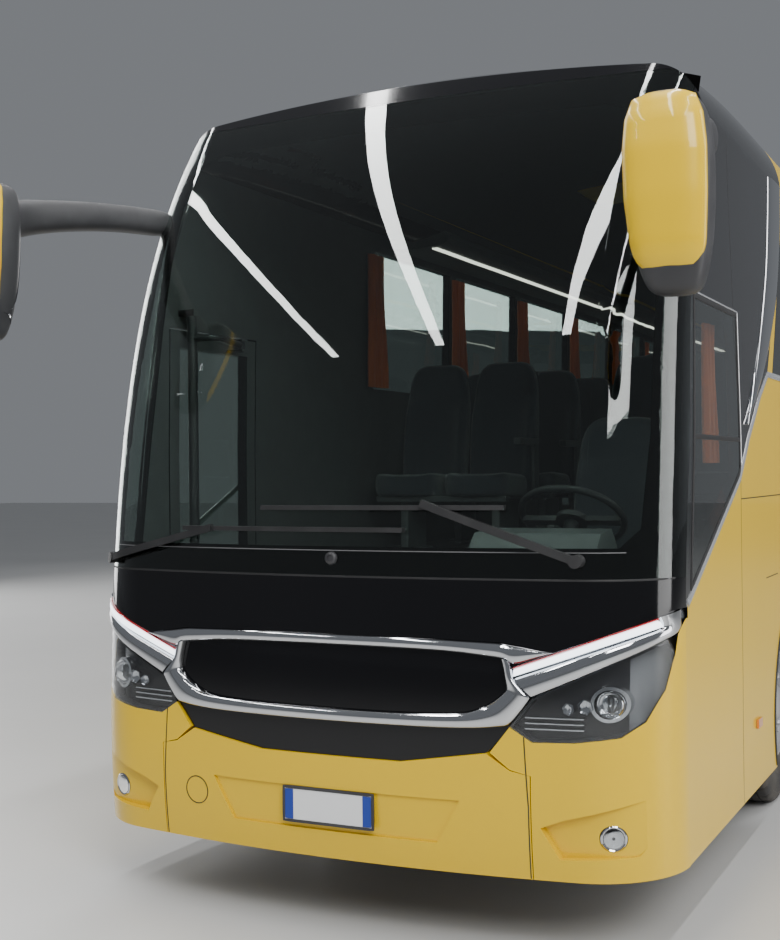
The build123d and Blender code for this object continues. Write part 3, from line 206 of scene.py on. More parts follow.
def place_effect(tree, key, **values):
    """Put one effect group into a material with its own values."""
    node = add_node(tree, "ShaderNodeGroup")
    node.node_tree = EFFECTS[key]
    for label, value in values.items():
        node.inputs[label.replace("_", " ")].default_value = value
    return node


def finish(title, colour, roughness, metallic=0.0, tone=0.0, film=0.0, film_top=0.9,
           bump=None, rubbed=0.0, sockets=None):
    """A finish by its name. bump is (effect, output, scale, strength, distance)."""
    material = bpy.data.materials.new(title)
    material.use_nodes = True
    tree = material.node_tree
    shader = tree.nodes["Principled BSDF"]
    shader.inputs["Base Color"].default_value = (*colour, 1.0)
    shader.inputs["Roughness"].default_value = roughness
    shader.inputs["Metallic"].default_value = metallic
    for label, value in (sockets or {}).items():
        shader.inputs[label].default_value = value
    shown = (*colour, 1.0)
    dulled = None
    if tone:
        depth = place_effect(tree, "paint")
        darker = tuple(channel * (1.0 - tone) for channel in colour) + (1.0,)
        shown = mix_colour(tree, depth.outputs["Tone"], shown, darker)
    if rubbed:
        worn = place_effect(tree, "grain")
        paler = tuple(min(1.0, channel * 1.5 + 0.02) for channel in colour) + (1.0,)
        mask = maths(tree, "MULTIPLY", worn.outputs["Rubbed"], rubbed)
        shown = mix_colour(tree, mask, shown, paler)
        dulled = maths(tree, "ADD", maths(tree, "MULTIPLY", mask, 0.2), roughness)
    if film:
        dust = place_effect(tree, "film", Top=film_top, Amount=film)
        shown = mix_colour(tree, dust.outputs["Film"], shown, FILM_COLOUR)
        dulled = maths(tree, "ADD", maths(tree, "MULTIPLY", dust.outputs["Film"], 0.5), dulled or roughness)
    if not isinstance(shown, tuple):
        tree.links.new(shown, shader.inputs["Base Color"])
    if dulled is not None:
        tree.links.new(dulled, shader.inputs["Roughness"])
    if bump:
        effect, output, scale_label, scale, strength, distance = bump
        source = place_effect(tree, effect, **{scale_label: scale})
        node = add_node(tree, "ShaderNodeBump")
        node.inputs["Strength"].default_value = strength
        node.inputs["Distance"].default_value = distance
        tree.links.new(source.outputs[output], node.inputs["Height"])
        tree.links.new(node.outputs["Normal"], shader.inputs["Normal"])
    return material


def clear_to_lamps(material):
    """Let light from lamps pass a pane straight, so what is behind the glass is lit."""
    tree = material.node_tree
    shader = tree.nodes["Principled BSDF"]
    target = tree.nodes["Material Output"].inputs["Surface"]
    path = add_node(tree, "ShaderNodeLightPath")
    through = add_node(tree, "ShaderNodeBsdfTransparent")
    through.inputs["Color"].default_value = shader.inputs["Base Color"].default_value
    mixer = add_node(tree, "ShaderNodeMixShader")
    tree.links.new(path.outputs["Is Shadow Ray"], mixer.inputs["Fac"])
    tree.links.new(shader.outputs["BSDF"], mixer.inputs[1])
    tree.links.new(through.outputs["BSDF"], mixer.inputs[2])
    tree.links.new(mixer.outputs["Shader"], target)
    return material


COAT = {"Coat Weight": 1.0, "Coat Roughness": 0.03}
RIPPLE = ("paint", "Ripple", "Ripple_scale", 260.0, 0.05, 0.0004)
GRAIN = ("grain", "Grain", "Grain_scale", 900.0, 0.25, 0.0005)
CASTING = ("paint", "Ripple", "Ripple_scale", 140.0, 0.4, 0.002)
WEAVE = ("weave", "Weave", "Thread_scale", 420.0, 0.5, 0.0012)
GLASS_SOCKETS = {"Transmission Weight": 1.0, "IOR": 1.45}

YELLOW = finish("yellow_paint", (0.76, 0.49, 0.0), 0.34, tone=0.05, film=0.10, film_top=0.7, bump=RIPPLE,
                sockets={"Coat Weight": 0.45, "Coat Roughness": 0.03, "Specular IOR Level": 0.25})
BLACK = finish("black_gloss", (0.004, 0.004, 0.005), 0.10, tone=0.3, bump=RIPPLE,
               sockets={"Coat Weight": 0.25, "Coat Roughness": 0.03, "Specular IOR Level": 0.3})
GLASS = clear_to_lamps(finish("tinted_glass", (0.50, 0.57, 0.54), 0.01, sockets=GLASS_SOCKETS))
PRIVACY = clear_to_lamps(finish("side_glass", (0.20, 0.24, 0.23), 0.01, sockets=GLASS_SOCKETS))
LENS = clear_to_lamps(finish("lamp_lens", (0.90, 0.92, 0.93), 0.01, sockets=GLASS_SOCKETS))
CHROME = finish("chrome_plate", (0.62, 0.63, 0.65), 0.06, 1.0, tone=0.08)
SILVER = finish("silver_strip", (0.72, 0.73, 0.75), 0.26, 0.7, tone=0.08, bump=RIPPLE)
GLOW = finish("light_guide", (0.9, 0.93, 1.0), 0.3, tone=0.05,
              sockets={"Emission Color": (0.85, 0.93, 1.0, 1.0), "Emission Strength": 3.0})
AMBER = finish("amber_lens", (0.80, 0.22, 0.01), 0.12, tone=0.15, sockets=COAT)
RED = finish("red_lens", (0.42, 0.006, 0.006), 0.12, tone=0.15, sockets=COAT)
DARK = finish("dark_plastic", (0.028, 0.028, 0.031), 0.45, bump=GRAIN, rubbed=0.35, film=0.15)
GREY = finish("grey_plastic", (0.11, 0.113, 0.118), 0.5, bump=GRAIN, rubbed=0.3)
VINYL = finish("floor_vinyl", (0.07, 0.07, 0.076), 0.55, bump=GRAIN, rubbed=0.6)
SHEET_METAL = finish("aluminium_sheet", (0.50, 0.51, 0.52), 0.38, 1.0, tone=0.2, bump=CASTING)
CHASSIS = finish("chassis_paint", (0.022, 0.022, 0.025), 0.5, film=0.45, film_top=1.4, bump=CASTING)
IRON = finish("engine_casting", (0.09, 0.095, 0.10), 0.55, film=0.3, film_top=1.4, bump=CASTING)
PLUSH = finish("seat_plush", (0.045, 0.05, 0.065), 0.9, tone=0.25, bump=WEAVE,
               sockets={"Sheen Weight": 0.4, "Sheen Roughness": 0.5})
RUBBER = finish("tyre_rubber", (0.017, 0.017, 0.018), 0.72, rubbed=0.35, film=0.5, film_top=1.1, bump=GRAIN)
RIM = finish("rim_silver", (0.50, 0.51, 0.53), 0.32, 0.6, tone=0.08, film=0.3, film_top=1.0, bump=RIPPLE)
PLATE = finish("plate_white", (0.78, 0.79, 0.80), 0.35, tone=0.05, bump=RIPPLE)
SEAL = finish("rubber_seal", (0.010, 0.010, 0.011), 0.55, rubbed=0.25, bump=GRAIN)
print("finishes:", len([m for m in bpy.data.materials if m.users or m.use_nodes]))

# %% [markdown]
# The record gives each CAD node a material slot. One table from slot to finish dresses the whole
# frame, and a detailed piece that replaces a node later takes the same finish.

# %% Dress the CAD nodes
SLOT_FINISH = {
    "body_paint": YELLOW, "gloss_black": BLACK, "tinted_glass": GLASS, "chrome_trim": CHROME,
    "lamp_clear": LENS, "lamp_white": GLOW, "lamp_amber": AMBER, "lamp_red": RED,
    "dark_plastic": DARK, "grey_plastic": GREY, "floor_vinyl": VINYL, "hold_lining": SHEET_METAL,
    "frame_steel": CHASSIS, "engine_iron": IRON, "seat_fabric": PLUSH, "tyre_rubber": RUBBER,
    "rim_steel": RIM, "plate_white": PLATE, "wiper_black": SEAL,
}
node_slot = {row["node"]: row["material_slot"] for row in frame["record"]["subparts"]}
for name, cad_node in nodes.items():
    cad_node.data.materials.clear()
    cad_node.data.materials.append(SLOT_FINISH[node_slot[name]])
for name in ("side_glass", "rear_window", "door_middle_glass"):
    nodes[name].data.materials[0] = PRIVACY
print("dressed:", len(nodes), "nodes in", len(set(node_slot.values())), "slots")

# %% [markdown]
# The CAD walls are one solid each, so their inner faces would show body paint through the glass.
# A ray from each face along its own normal tells what it is: an outer face meets open air, an inner
# face meets the other side of the cabin, and the reveal of an opening meets its opposite edge.
# Inner faces get a lining, and reveals get black gloss as painted shade, so the openings read as
# shadow gaps. The vertices stay, only the finish changes.

# %% Line the cabin and paint shade into the reveals
LINING = finish("cabin_lining", (0.075, 0.075, 0.078), 0.7, bump=GRAIN, rubbed=0.2)
INWARD = {
    "side_wall_left": (-1, 0, 0), "cab_sides": (0, 0, 0), "side_wall_right": (1, 0, 0),
    "roof": (0, 0, -1), "roof_cap": (0, 0, -1), "rear_wall": (0, -1, 0), "engine_flap": (0, -1, 0),
    "door_front": (1, 0, 0), "door_middle": (1, 0, 0), "luggage_flap_left_front": (-1, 0, 0),
    "luggage_flap_left_middle": (-1, 0, 0), "luggage_flap_left_rear": (-1, 0, 0),
    "luggage_flap_right_front": (1, 0, 0), "luggage_flap_right_rear": (1, 0, 0),
}
FRONT = cad_box[0][1] + 0.42
OPEN_AIR = 3.0
SIDES = ((1, "left"), (-1, "right"))


def skin_tree(names):
    """A search tree over some CAD nodes, for rays."""
    points, faces = [], []
    for name in names:
        start = len(points)
        place = nodes[name].matrix_world
        points += [place @ v.co for v in nodes[name].data.vertices]
        faces += [[start + i for i in face.vertices] for face in nodes[name].data.polygons]
    return BVHTree.FromPolygons(points, faces)


coach_tree = skin_tree([name for name in nodes if not name.startswith(("mirror", "wiper"))])
lined = 0
for name, inward in INWARD.items():
    mesh = nodes[name].data
    mesh.materials.append(LINING)
    # the third slot is black gloss laid on the reveals as painted shade
    mesh.materials.append(BLACK)
    place = nodes[name].matrix_world
    turn = place.to_3x3()
    for face in mesh.polygons:
        middle = place @ face.center
        normal = (turn @ face.normal).normalized()
        facing = Vector(inward) if any(inward) else Vector((-math.copysign(1, middle.x), 0, 0))
        meets = coach_tree.ray_cast(middle + normal * 0.002, normal, OPEN_AIR)[0]
        if meets is not None or normal.dot(facing) > 0.9:
            # index 2 paints the reveals black as painted shade in the gaps
            face.material_index = 1 if normal.dot(facing) > 0.5 else 2
            lined += 1
print("faces lined or blackened:", lined)

# %% [markdown]
# Trims and borders lie on a doubly curved skin. The nose is known as a formula: stations of a plan
# curve, a flat bow between two corner arcs, joined over their height by a smooth polynomial. Laying
# pieces on that formula and not on the CAD mesh keeps their highlights free of facets. The sides
# are nearly flat, so there a ray cast on the CAD panels is enough.

# %% Helpers that land on the skin
# columns: height, nose setback, corner depth, corner radius, half width
STATIONS = np.array([
    (0.25, 0.025, 0.455, 0.380, 1.276), (1.0, 0.0, 0.460, 0.380, 1.276), (1.75, 0.078, 0.445, 0.360, 1.276),
    (2.5, 0.262, 0.405, 0.325, 1.264), (3.25, 0.690, 0.300, 0.245, 1.249), (4.0, 1.420, 0.260, 0.215, 1.240),
])
CURVES = [np.polyfit(STATIONS[:, 0], STATIONS[:, column], 5) for column in range(1, 5)]


def nose_depth(x, z):
    """How far behind the front the nose's skin is at a place in front view."""
    setback, depth, radius, half = (np.polyval(curve, z) for curve in CURVES)
    centre = half - radius
    bow = (centre ** 2 + depth ** 2 - radius ** 2) / (2 * (depth - radius))
    if abs(x) <= bow * math.sin(math.atan2(centre, bow - depth)):
        return setback + bow - math.sqrt(bow ** 2 - x ** 2)
    return setback + depth - math.sqrt(max(radius ** 2 - (abs(x) - centre) ** 2, 1e-6))


def on_nose(x, z):
    """The point of the nose at a place in front view, and the way that it faces."""
    step = 0.002
    slope_x = (nose_depth(x + step, z) - nose_depth(x - step, z)) / (2 * step)
    slope_z = (nose_depth(x, z + step) - nose_depth(x, z - step)) / (2 * step)
    return Vector((x, FRONT + nose_depth(x, z), z)), Vector((slope_x, -1.0, slope_z)).normalized()


SIDE_TREE = skin_tree(["side_wall_left", "side_wall_right", "cab_sides", "side_glass", "driver_window",
                       "door_front", "door_front_glass", "door_middle", "door_middle_glass",
                       "luggage_flap_left_front", "luggage_flap_left_middle", "luggage_flap_left_rear",
                       "luggage_flap_right_front", "luggage_flap_right_rear"])


def on_side(side):
    """A landing on the left (1) or right (-1) side; places are (behind the front, height)."""
    def land(behind, height):
        start = Vector((side * 3.0, FRONT + behind, height))
        place, normal, _, _ = SIDE_TREE.ray_cast(start, Vector((-side, 0, 0)))
        if place is None or side * place.x < 1.1:
            place = Vector((side * 1.275, FRONT + behind, height))
        return Vector((place.x, FRONT + behind, height)), Vector((side, 0, 0.0))
    return land


def sheet_faces(rows, columns):
    """The faces of an open grid of points that has rows by columns cells."""
    wide = columns + 1
    return [(k * wide + i, k * wide + i + 1, (k + 1) * wide + i + 1, (k + 1) * wide + i)
            for k in range(rows) for i in range(columns)]


def tube_faces(count, size, start=0):
    """The faces between closed rings: how many rings, the points of each, and the first point."""
    return [(start + k * size + i, start + k * size + (i + 1) % size,
             start + (k + 1) * size + (i + 1) % size, start + (k + 1) * size + i)
            for k in range(count - 1) for i in range(size)]


def turn_outwards(mesh):
    """Turn every face of a closed mesh to its outside."""
    fixing = bmesh.new()
    fixing.from_mesh(mesh)
    bmesh.ops.recalc_face_normals(fixing, faces=fixing.faces[:])
    fixing.to_mesh(mesh)
    fixing.free()


def new_piece(title, points, faces, material, body="coach", smooth=40, outward=None):
    """A mesh object that rides on a body; edges sharper than smooth degrees stay sharp."""
    mesh = bpy.data.meshes.new(title)
    mesh.from_pydata([tuple(p) for p in points], [], faces)
    if outward is not None and mesh.polygons[-1].normal.dot(outward) < 0:
        mesh.flip_normals()
    mesh.shade_smooth()
    mesh.set_sharp_from_angle(angle=math.radians(smooth))
    mesh.materials.append(material)
    piece = bpy.data.objects.new(title, mesh)
    bpy.context.scene.collection.objects.link(piece)
    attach(piece, body)
    return piece


def resampled(path, step):
    """Points along a line of corners, about a step apart, each with its share of the length."""
    corners = [Vector(p) for p in path]
    lengths = [(b - a).length for a, b in zip(corners, corners[1:])]
    whole, gone, points = sum(lengths), 0.0, []
    for a, b, length in zip(corners, corners[1:], lengths):
        count = max(1, round(length / step))
        points += [(a.lerp(b, i / count), (gone + length * i / count) / whole) for i in range(count)]
        gone += length
    return points + [(corners[-1], 1.0)]


def ribbon(title, path, land, half, height, material, body="coach", step=0.03, crown=1.0, closed=False):
    """A crowned strip on the skin. half is one half width, or one at each end."""
    widths = half if isinstance(half, tuple) else (half, half)
    stops = resampled(path + [path[0]] if closed else path, step)
    shoulder = height * (1.0 - 0.25 * crown)
    section = [(-1.0, -0.004), (-0.94, height * 0.5), (-0.6, shoulder), (0.0, height),
               (0.6, shoulder), (0.94, height * 0.5), (1.0, -0.004)]
    points, last = [], len(stops) - 1
    for i, (stop, share) in enumerate(stops):
        before = stops[i - 1 if i or not closed else last - 1][0] if i or closed else stop
        after = stops[i + 1 if i < last else 1][0] if i < last or closed else stop
        along = (after - before).normalized()
        wide = widths[0] + (widths[1] - widths[0]) * share
        for across, lift in section:
            spot = stop + Vector((-along.y, along.x)) * across * wide
            place, normal = land(spot.x, spot.y)
            points.append(place + normal * lift)
    size = len(section)
    faces = sheet_faces(last, size - 1)
    ends = [] if closed else [tuple(range(size))[::-1], tuple(range(last * size, last * size + size))]
    return new_piece(title, points, ends + faces, material, body, outward=normal)


def rounded(rows):
    """Rows of numbers with their corners cut twice, so that a line through them bends softly."""
    for _ in range(2):
        cut = [rows[0]]
        for a, b in zip(rows, rows[1:]):
            cut += [a * 0.75 + b * 0.25, a * 0.25 + b * 0.75]
        rows = cut + [rows[-1]]
    return rows


def band(title, rows, land, lift, crown, material, body="coach", step=0.02, sink=-0.012):
    """A crowned strip between two edges given pair by pair: (u, v) of one edge, (u, v) of the other."""
    soft = rounded([np.array(row, dtype=float) for row in rows])
    stops = [soft[0]]
    for a, b in zip(soft, soft[1:]):
        count = max(1, round(float(np.abs(b - a).max()) / step))
        stops += [a + (b - a) * (i + 1) / count for i in range(count)]
    section = [(0.0, 0.0), (0.02, 0.45), (0.07, 0.82), (0.18, 1.0), (0.34, 1.0), (0.5, 1.0), (0.66, 1.0),
               (0.82, 1.0), (0.93, 0.82), (0.98, 0.45), (1.0, 0.0)]
    points, size, last = [], len(section), len(stops) - 1
    for stop in stops:
        for across, rise in section:
            spot = stop[:2] * (1 - across) + stop[2:] * across
            place, normal = land(float(spot[0]), float(spot[1]))
            points.append(place + normal * (sink + (lift - sink) * rise + crown * math.sin(math.pi * across)))
    ends = [tuple(range(size))[::-1], tuple(range(last * size, last * size + size))]
    return new_piece(title, points, ends + sheet_faces(last, size - 1), material, body, outward=normal)


def other_side(rows):
    """The same band on the other side of the middle."""
    return [(-a, b, -c, d) for a, b, c, d in rows]


def across_middle(rows):
    """A band drawn from the middle outwards, carried on to the other side."""
    return other_side(rows[:0:-1]) + rows


def rim_distance(spot, outline):
    """How far a place is from the nearest side of an outline."""
    best = 1e9
    for a, b in zip(outline, outline[1:] + outline[:1]):
        run = b - a
        share = min(1.0, max(0.0, (spot - a).dot(run) / max(run.length_squared, 1e-12)))
        best = min(best, (spot - a - run * share).length)
    return best


def patch(title, outline, land, lift, edge, material, body="coach", cell=0.05, crown=0.0, holes=(),
          sink=-0.003):
    """A thin panel on the skin. Its rim rounds down over an edge, and crown lifts its middle."""
    rims = [[Vector(p) for p in ring] for ring in (outline, *holes)]
    grid = bmesh.new()
    loops = []
    for ring in rims:
        corners = [grid.verts.new((p.x, p.y, 0)) for p in ring]
        loops += [grid.edges.new((a, b)) for a, b in zip(corners, corners[1:] + corners[:1])]
    bmesh.ops.triangle_fill(grid, use_beauty=True, use_dissolve=False, edges=loops)
    if edge:
        for inset in (edge * 0.3, edge * 0.7):
            core = [f for f in grid.faces if not f.tag]
            made = bmesh.ops.inset_region(grid, faces=core, thickness=inset, use_even_offset=True)
            for face in made["faces"]:
                face.tag = True
    spans = [(min(p[axis] for p in rims[0]), max(p[axis] for p in rims[0])) for axis in (0, 1)]
    for axis, (low, high) in enumerate(spans):
        for line in np.arange(low + cell, high, cell):
            spot, way = Vector((0, 0, 0)), Vector((0, 0, 0))
            spot[axis], way[axis] = line, 1.0
            bmesh.ops.bisect_plane(grid, geom=grid.verts[:] + grid.edges[:] + grid.faces[:],
                                   plane_co=spot, plane_no=way, dist=1e-5)
    bmesh.ops.triangulate(grid, faces=grid.faces[:])
    points = []
    widest = max(edge, 0.5 * min(high - low for low, high in spans))
    for v in grid.verts:
        spot = Vector((v.co.x, v.co.y))
        far = min(rim_distance(spot, ring) for ring in rims) if edge else 1.0
        rise = math.sin(min(1.0, far / edge) * math.pi / 2) if edge else 1.0
        place, normal = land(spot.x, spot.y)
        points.append(place + normal * (sink + (lift - sink) * rise + crown * min(1.0, far / widest)))
    grid.verts.index_update()
    faces = [[v.index for v in f.verts] for f in grid.faces]
    grid.free()
    return new_piece(title, points, faces, material, body, outward=normal)


def mirrored(points):
    """The same places on the other side of the middle."""
    return [(-u, v) for u, v in points]


def whole(outline):
    """An outline drawn from the middle outwards, closed over the middle with its mirror image."""
    return outline + mirrored([p for p in outline if p[0] > 0])[::-1]


print("skin helpers ready; nose at the middle of the belt:", tuple(round(c, 3) for c in on_nose(0, 2.2)[0]))

# %% [markdown]
# The front's bright work: two chrome bars across the grille, and a brow that runs from each bar's
# end over the lamp and round the corner. Each is a band between two edges in front view, laid on
# the nose with a soft rim and a crown, because polished metal shows every flat.

# %% Chrome bars and brows
# columns: lower edge across and height, upper edge across and height
UPPER_BAR = [(0, 1.118, 0, 1.160), (0.25, 1.117, 0.25, 1.160), (0.50, 1.112, 0.45, 1.157),
             (0.64, 1.098, 0.60, 1.153), (0.705, 1.091, 0.680, 1.151), (0.733, 1.068, 0.712, 1.146),
             (0.80, 1.090, 0.79, 1.134), (0.85, 1.109, 0.848, 1.124), (0.879, 1.118, 0.880, 1.120)]
LOWER_BAR = [(0, 0.827, 0, 0.879), (0.30, 0.828, 0.301, 0.880), (0.50, 0.830, 0.47, 0.886),
             (0.62, 0.836, 0.560, 0.893), (0.69, 0.845, 0.615, 0.913), (0.723, 0.851, 0.655, 0.935),
             (0.765, 0.902, 0.690, 0.962), (0.797, 0.946, 0.706, 0.979), (0.801, 0.956, 0.709, 0.985),
             (0.790, 0.968, 0.708, 0.997), (0.745, 1.012, 0.706, 1.020), (0.734, 1.032, 0.703, 1.040),
             (0.731, 1.061, 0.698, 1.066), (0.718, 1.086, 0.690, 1.095)]
BROW = [(0.806, 0.957, 0.734, 1.022), (0.905, 1.000, 0.850, 1.063), (1.043, 1.062, 0.985, 1.111),
        (1.166, 1.118, 1.110, 1.155), (1.235, 1.157, 1.195, 1.186), (1.258, 1.171, 1.222, 1.196),
        (1.267, 1.190, 1.227, 1.203), (1.269, 1.215, 1.225, 1.218), (1.268, 1.262, 1.218, 1.240)]
bars = [
    band("upper_chrome_bar", across_middle(UPPER_BAR), on_nose, 0.011, 0.006, CHROME),
    band("lower_chrome_bar", across_middle(LOWER_BAR), on_nose, 0.011, 0.006, CHROME),
    band("brow_left", BROW, on_nose, 0.008, 0.004, CHROME, sink=-0.010),
    band("brow_right", other_side(BROW), on_nose, 0.008, 0.004, CHROME, sink=-0.010),
]
for bar in bars:
    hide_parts("front_chrome")
print("chrome pieces:", [bar.name for bar in bars])

# %% [markdown]
# Over each lamp runs a light guide with a thin red line along its upper edge. The guide glows a
# little, so it reads as a lamp in daylight and not as white paint.

# %% Light guides
RED_LINE = finish("red_edge", (0.45, 0.008, 0.012), 0.25, tone=0.1, sockets=COAT)
GUIDE = [(0.738, 1.030, 0.738, 1.056), (0.98, 1.116, 0.976, 1.142), (1.224, 1.203, 1.213, 1.229)]
for label, turn, rows in (("left", list, GUIDE), ("right", mirrored, other_side(GUIDE))):
    guide = band(f"light_guide_{label}", rows, on_nose, 0.009, 0.002, GLOW)
    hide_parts("light_strips")
    ribbon(f"light_guide_edge_{label}", turn([(0.736, 1.060), (1.214, 1.234)]), on_nose, 0.0035, 0.0115,
           RED_LINE)

# %% [markdown]
# The headlamp's CAD solids are a lens, and behind it a bowl with a projector barrel and fins. The
# mesh is parted into its solids by shared corners. On each side the one that lies further forward
# is the clear lens, and the other is dark plastic with a bright barrel and bright fins.

# %% Headlamps
BOWL = finish("lamp_bowl", (0.012, 0.012, 0.014), 0.28, 0.2, tone=0.3)
BARREL_X, BARREL_Z, BARREL_EDGE = 1.067, 0.934, 0.066
FIN_HEIGHTS = (0.8405, 0.8605, 0.8805)
# corners within a step of each other count as one
STEPS_PER_METRE = 20000


def solids_of(mesh):
    """Which solid each face of a mesh belongs to, found by corners at the same place."""
    parent = {}

    def root(key):
        while parent.setdefault(key, key) != key:
            parent[key] = parent[parent[key]]
            key = parent[key]
        return key
    corner = [tuple(round(c * STEPS_PER_METRE) for c in v.co) for v in mesh.vertices]
    for face in mesh.polygons:
        first = root(corner[face.vertices[0]])
        for index in face.vertices[1:]:
            parent[root(corner[index])] = first
    return [root(corner[face.vertices[0]]) for face in mesh.polygons]


lamp_mesh = nodes["headlamps"].data
for material in (BOWL, CHROME):
    lamp_mesh.materials.append(material)
owners = solids_of(lamp_mesh)
foremost = {}
for face, owner in zip(lamp_mesh.polygons, owners):
    side = math.copysign(1, face.center.x)
    foremost[owner] = min(foremost.get(owner, (side, 1e9)), (side, face.center.y))
lenses = {min((y, owner) for owner, (at, y) in foremost.items() if at == side)[1] for side in (-1, 1)}
counts = [0, 0, 0]
for face, owner in zip(lamp_mesh.polygons, owners):
    x, _, z = face.center
    in_fins = 0.77 < abs(x) < 0.98 and min(abs(z - height) for height in FIN_HEIGHTS) < 0.004
    if owner not in lenses:
        face.material_index = 2 if math.hypot(abs(x) - BARREL_X, z - BARREL_Z) < BARREL_EDGE or in_fins else 1
    counts[face.material_index] += 1
print("headlamp faces, lens, bowl and bright:", counts)


def dome(title, centre, axis, profile, material, body="coach", turns=48, smooth=40):
    """A turned piece: (radius, height) stops round an axis through a centre."""
    along = Vector(axis).normalized()
    first = along.orthogonal().normalized()
    second = along.cross(first)
    points = []
    for radius, height in profile:
        for i in range(turns):
            angle = 2 * math.pi * i / turns
            spoke = first * math.cos(angle) + second * math.sin(angle)
            points.append(Vector(centre) + along * height + spoke * radius)
    return new_piece(title, points, tube_faces(len(profile), turns), material, body, smooth)


for side, label in SIDES:
    skin, normal = on_nose(side * BARREL_X, BARREL_Z)
    heart = skin + Vector((0, 0.034, 0))
    dome(f"projector_lens_{label}", heart, (0, -1, 0),
         [(0.001, 0.016), (0.016, 0.0145), (0.030, 0.010), (0.040, 0.002), (0.042, -0.004), (0.001, -0.004)],
         LENS)
    dome(f"projector_ring_{label}", heart, (0, -1, 0),
         [(0.050, -0.014), (0.050, 0.004), (0.047, 0.008), (0.043, 0.004), (0.040, -0.006)], CHROME)
    for place, reach, height in ((0.985, 0.050, 0.925), (0.925, 0.040, 0.915)):
        spot, _ = on_nose(side * place, height)
        dome(f"reflector_{label}_{round(place * 1000)}", spot + Vector((0, 0.030, 0)), (0, -1, 0),
             [(0.002, -0.012), (0.010, -0.011), (reach * 0.45, -0.007), (reach * 0.55, 0.0),
              (reach * 0.58, 0.004), (reach * 0.62, 0.0), (reach * 0.62, -0.012)], CHROME, turns=6, smooth=20)

# %% [markdown]
# The fog lamp's CAD body stays as the dark housing. A chrome ring, a faceted reflector and a clear
# dome go in front of it, and the markers on the sides keep their amber.

# %% Fog lamps and markers
fog_mesh = nodes["small_lamps"].data
fog_mesh.materials.append(BOWL)
for face in fog_mesh.polygons:
    if abs((nodes["small_lamps"].matrix_world @ face.center).x) < 1.2:
        face.material_index = 1
FOG_X, FOG_Z, FOG_R = 1.075, 0.455, 0.048
FOG_TREE = skin_tree(["small_lamps"])
for side, label in SIDES:
    ahead_point = Vector((side * FOG_X, FRONT - 1.0, FOG_Z))
    place, normal, _, _ = FOG_TREE.ray_cast(ahead_point, Vector((0, 1, 0)))
    heart = place - normal * 0.012
    dome(f"fog_ring_{label}", heart, normal,
         [(FOG_R, 0.0), (FOG_R, 0.016), (FOG_R - 0.004, 0.019), (FOG_R - 0.009, 0.016),
          (FOG_R - 0.012, 0.004)], CHROME)
    dome(f"fog_reflector_{label}", heart, normal,
         [(0.006, 0.0135), (0.014, 0.0135), (0.024, 0.0150), (0.037, 0.0165)], CHROME, turns=16, smooth=15)
    dome(f"fog_glass_{label}", heart, normal,
         [(0.001, 0.0225), (0.015, 0.0222), (0.028, 0.0205), (0.038, 0.0175), (0.038, 0.0160),
          (0.028, 0.0190), (0.015, 0.0207), (0.001, 0.0210)], LENS)
print("fog lamps at", FOG_X, FOG_Z)

# %% [markdown]
# The bonded windscreen has a black border printed on its inside, wide at the foot where the wipers
# park. It sits just behind the pane, so it is one sheet with a hole where the glass stays clear.

# %% Windscreen border and camera
SCREEN_LINE = [(0, 1.380), (1.262, 1.380), (1.262, 1.9), (1.258, 2.5), (1.245, 3.0), (1.232, 3.39), (0, 3.39)]
CLEAR_LINE = [(0, 1.492), (1.10, 1.492), (1.165, 1.56), (1.185, 1.9), (1.180, 2.5), (1.130, 3.05),
              (1.05, 3.20), (0.9, 3.25), (0, 3.26)]
BORDER = finish("screen_border", (0.002, 0.002, 0.002), 0.6, tone=0.2, sockets={"Specular IOR Level": 0.0})
patch("screen_border", whole(SCREEN_LINE), on_nose, -0.0095, 0, BORDER, holes=[whole(CLEAR_LINE)])
ribbon("screen_foot_seal", [(-1.255, 1.377), (1.255, 1.377)], on_nose, 0.004, 0.0015, SEAL)
ribbon("screen_grey_line", [(-1.12, 1.476), (1.12, 1.476)], on_nose, 0.0016, 0.0008,
       finish("grey_print", (0.16, 0.16, 0.165), 0.5, tone=0.1))
skin, normal = on_nose(0.0, 1.446)
dome("front_camera", skin, normal,
     [(0.026, -0.002), (0.025, 0.006), (0.021, 0.011), (0.013, 0.013), (0.012, 0.009), (0.001, 0.010)], DARK)

# %% [markdown]
# A horn mirror is a soft form: a tall rounded head on an arm that arches out from the roof's corner.
# Rings of points give its sections, and a subdivision surface makes them flow. The painted cap
# repeats the head's rings a little larger, and the glass lands on the finished head by rays.

# %% Horn mirrors
# columns: height, middle across, half width, half depth, middle behind the front
HEAD_RINGS = [
    (2.322, 1.428, 0.030, 0.024, -0.288), (2.330, 1.428, 0.072, 0.056, -0.290),
    (2.360, 1.427, 0.096, 0.078, -0.292), (2.480, 1.422, 0.125, 0.104, -0.297),
    (2.630, 1.417, 0.138, 0.115, -0.299), (2.780, 1.414, 0.140, 0.116, -0.297),
    (2.880, 1.410, 0.130, 0.110, -0.288), (2.945, 1.405, 0.106, 0.092, -0.278),
    (2.972, 1.402, 0.066, 0.058, -0.270), (2.980, 1.400, 0.020, 0.018, -0.266),
]
# columns: across, behind the front, height, half width, half height
HORN_RINGS = [
    (1.165, 0.655, 2.932, 0.050, 0.046), (1.190, 0.610, 2.934, 0.066, 0.060),
    (1.240, 0.520, 2.937, 0.064, 0.060), (1.310, 0.390, 2.938, 0.062, 0.062),
    (1.400, 0.180, 2.918, 0.062, 0.068), (1.445, 0.000, 2.885, 0.064, 0.076),
    (1.440, -0.140, 2.850, 0.070, 0.084), (1.425, -0.270, 2.815, 0.076, 0.088),
]
AROUND = 20


def superellipse(angle, power):
    """A point of a rounded rectangle with half sides of one."""
    c, s = math.cos(angle), math.sin(angle)
    return math.copysign(abs(c) ** (2 / power), c), math.copysign(abs(s) ** (2 / power), s)


